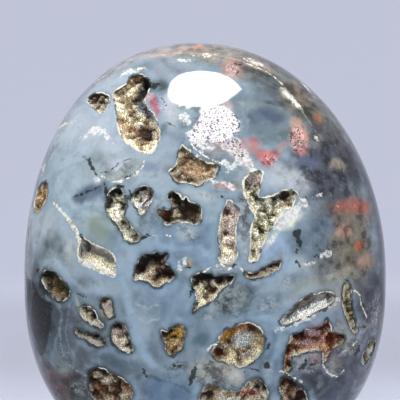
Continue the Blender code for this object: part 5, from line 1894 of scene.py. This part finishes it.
def druse_finish(name):
    """Makes the crystals' material."""
    material, tree = new_material(name)
    tint = tree.attribute("crystal_tint")
    colour = tree.attribute("bed_colour", "Color")
    places = tree.node("ShaderNodeTexCoord", {}, {}, "Object")
    grain = tree.node("ShaderNodeTexNoise", {}, {
        "Vector": places, "Scale": GRAIN_SCALE, "Detail": GRAIN_DETAIL})
    shade = (tint * TINT_RANGE + TINT_DARKEST) * (grain * GRAIN_RANGE + GRAIN_DARKEST)
    lit = tree.node("ShaderNodeVectorMath", {"operation": "SCALE"}, {0: colour, "Scale": shade})
    clean = tree.node("ShaderNodeSeparateColor", {}, {0: colour}, 1).smooth(STAINED_AND_SHADED, CLEAN)
    # Painted highlight: the glint. Painted shade: the gap's dark.
    glint = tint.smooth(GLINT_START, GLINT_END) * clean * GLINT_SHARE
    gap = (1 - tint.smooth(GAP_START, GAP_END)) * GAP_SHARE
    finish = tree.node("ShaderNodeBsdfPrincipled", {}, {
        "Base Color": tree.mix(gap, tree.mix(glint, lit, GLINT_COLOUR), GAP_SHADE_COLOUR),
        "Roughness": DRUSE_ROUGHNESS - clean * CLEAN_POLISH + grain * GRAIN_ROUGHNESS,
        "IOR": QUARTZ_IOR, "Specular IOR Level": DRUSE_SPECULAR})
    tree.node("ShaderNodeOutputMaterial", {}, {"Surface": finish})
    return material


# %% Grow the crystals
finishes = {}
for number, pocket in enumerate(pockets):
    if pocket.druse not in finishes:
        finishes[pocket.druse] = druse_finish(pocket.druse)
    grow(pocket.crust, crystals, {
        "Spacing": CRYSTAL_SPACING, "Width": CRYSTAL_WIDTH, "Height": CRYSTAL_HEIGHT,
        "Tilt": CRYSTAL_TILT, "Seed": number, "Finish": finishes[pocket.druse]})

# %% [markdown]
# ## The room
# The photograph was taken in front of a plain pale backdrop with one strong soft light from above,
# whose reflection is the white shape near the top. A polished stone shows what is around it, so
# the lamp is made twice in one place. A flat glowing panel with the outline of the reflection is
# seen in the polish alone, and a softbox of about its size lights the stone. The sky is an even
# pale grey. The floor runs far back and curves up into the backdrop, which glows a little, so that
# it stays as pale as in the photograph.

# %% Lay the floor and hang the backdrop
FLOOR_HALF = 3.0
SWEEP_START = 1.5
SWEEP_RADIUS = 0.8
SWEEP_STEPS = 24
SWEEP_TOP = 3.4
FLOOR_DROP = 0.05 * MM
FLOOR_COLOUR = linear(168, 172, 186)
BACKDROP_COLOUR = linear(229, 233, 250)
BACKDROP_GLOW = linear(84, 85, 88)
FLOOR_ROUGHNESS = 0.9
BACKDROP_START = 0.2
BACKDROP_END = 1.1

sweep = [(-FLOOR_HALF, 0.0), (SWEEP_START, 0.0)]
for step in range(1, SWEEP_STEPS + 1):
    bend = step / SWEEP_STEPS * math.pi / 2
    sweep.append((SWEEP_START + SWEEP_RADIUS * math.sin(bend), SWEEP_RADIUS * (1 - math.cos(bend))))
sweep.append((SWEEP_START + SWEEP_RADIUS, SWEEP_TOP))
floor_points = [(x, y, z - FLOOR_DROP) for y, z in sweep for x in (-FLOOR_HALF, FLOOR_HALF)]
floor_faces = [(2 * k, 2 * k + 1, 2 * k + 3, 2 * k + 2) for k in range(len(sweep) - 1)]
floor_mesh = bpy.data.meshes.new("floor")
floor_mesh.from_pydata(floor_points, [], floor_faces)
floor_mesh.shade_smooth()
floor = bpy.data.objects.new("floor", floor_mesh)
bpy.context.scene.collection.objects.link(floor)
floor_material, tree = new_material("pale_floor")
places = tree.node("ShaderNodeTexCoord", {}, {}, "Object")
far = tree.node("ShaderNodeSeparateXYZ", {}, {0: places}, 1).smooth(BACKDROP_START, BACKDROP_END)
pale = tree.mix(far, FLOOR_COLOUR, BACKDROP_COLOUR)
glow = tree.mix(far, linear(0, 0, 0), BACKDROP_GLOW)
finish = tree.node("ShaderNodeBsdfPrincipled", {}, {
    "Base Color": pale, "Roughness": FLOOR_ROUGHNESS, "Emission Color": glow, "Emission Strength": 1.0})
tree.node("ShaderNodeOutputMaterial", {}, {"Surface": finish})
floor_mesh.materials.append(floor_material)
print("backdrop from", sweep[0], "to", sweep[-1])

# %% Hang the lamp that the polish shows
LAMP_PLACE = (0.020, -0.198, 0.600)
# The reflection's outline, in pixels right of and below its middle.
LAMP_OUTLINE = [
    (37, 0), (26, -9), (12, -14.5), (-4, -17), (-18, -14.5), (-29, -9), (-35, -2), (-37, 4),
    (-33, 10), (-22, 14.5), (-8, 17), (6, 16.5), (19, 12), (30, 5.5)]
# How far a pixel of the reflection reaches on the lamp, in metres.
RIGHT_ASIDE, RIGHT_BEHIND = 0.00356, 0.00088
LOW_ASIDE = 0.0004
ABOVE_BEHIND, BELOW_BEHIND = -0.0093, -0.0104
LAMP_BRIGHTNESS = 30.0

lamp_points = []
for right, low in LAMP_OUTLINE:
    aside = RIGHT_ASIDE * right + LOW_ASIDE * low
    behind = RIGHT_BEHIND * right + (ABOVE_BEHIND if low < 0 else BELOW_BEHIND) * low
    lamp_points.append(Vector(LAMP_PLACE) + Vector((aside, behind, 0)))
lamp_mesh = bpy.data.meshes.new("lamp")
lamp_mesh.from_pydata(lamp_points, [], [list(range(len(lamp_points)))])
lamp_glow, tree = new_material("lamp_glow")
glow = tree.node("ShaderNodeEmission", {}, {
    "Color": (1, 1, 1, 1), "Strength": LAMP_BRIGHTNESS})
tree.node("ShaderNodeOutputMaterial", {}, {"Surface": glow})
lamp_mesh.materials.append(lamp_glow)
lamp = bpy.data.objects.new("lamp", lamp_mesh)
lamp.visible_camera = False
lamp.visible_diffuse = False
bpy.context.scene.collection.objects.link(lamp)
print("lamp corners:", len(lamp_points))

# %% Light the stone and the room
SOFTBOX_SIZE = (0.26, 0.33)
SOFTBOX_POWER = 20.0
SKY = linear(226, 226, 230)
SKY_STRENGTH = 0.74

softbox_data = bpy.data.lights.new("softbox", "AREA")
softbox_data.shape = "ELLIPSE"
softbox_data.size, softbox_data.size_y = SOFTBOX_SIZE
softbox_data.energy = SOFTBOX_POWER
softbox = bpy.data.objects.new("softbox", softbox_data)
softbox.location = LAMP_PLACE
softbox.visible_glossy = False
bpy.context.scene.collection.objects.link(softbox)

world = bpy.data.worlds.new("room")
world.use_nodes = True
world.node_tree.nodes.clear()
tree = Tree(world.node_tree)
sky = tree.node("ShaderNodeBackground", {}, {"Color": SKY, "Strength": SKY_STRENGTH})
tree.node("ShaderNodeOutputWorld", {}, {"Surface": sky})
bpy.context.scene.world = world
print("softbox:", softbox_data.energy, "W")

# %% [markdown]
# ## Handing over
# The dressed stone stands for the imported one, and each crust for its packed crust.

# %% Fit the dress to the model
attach(stone, "root")
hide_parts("stone")
for pocket in pockets:
    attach(pocket.crust, "root")
    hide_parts("crust_" + pocket.name)
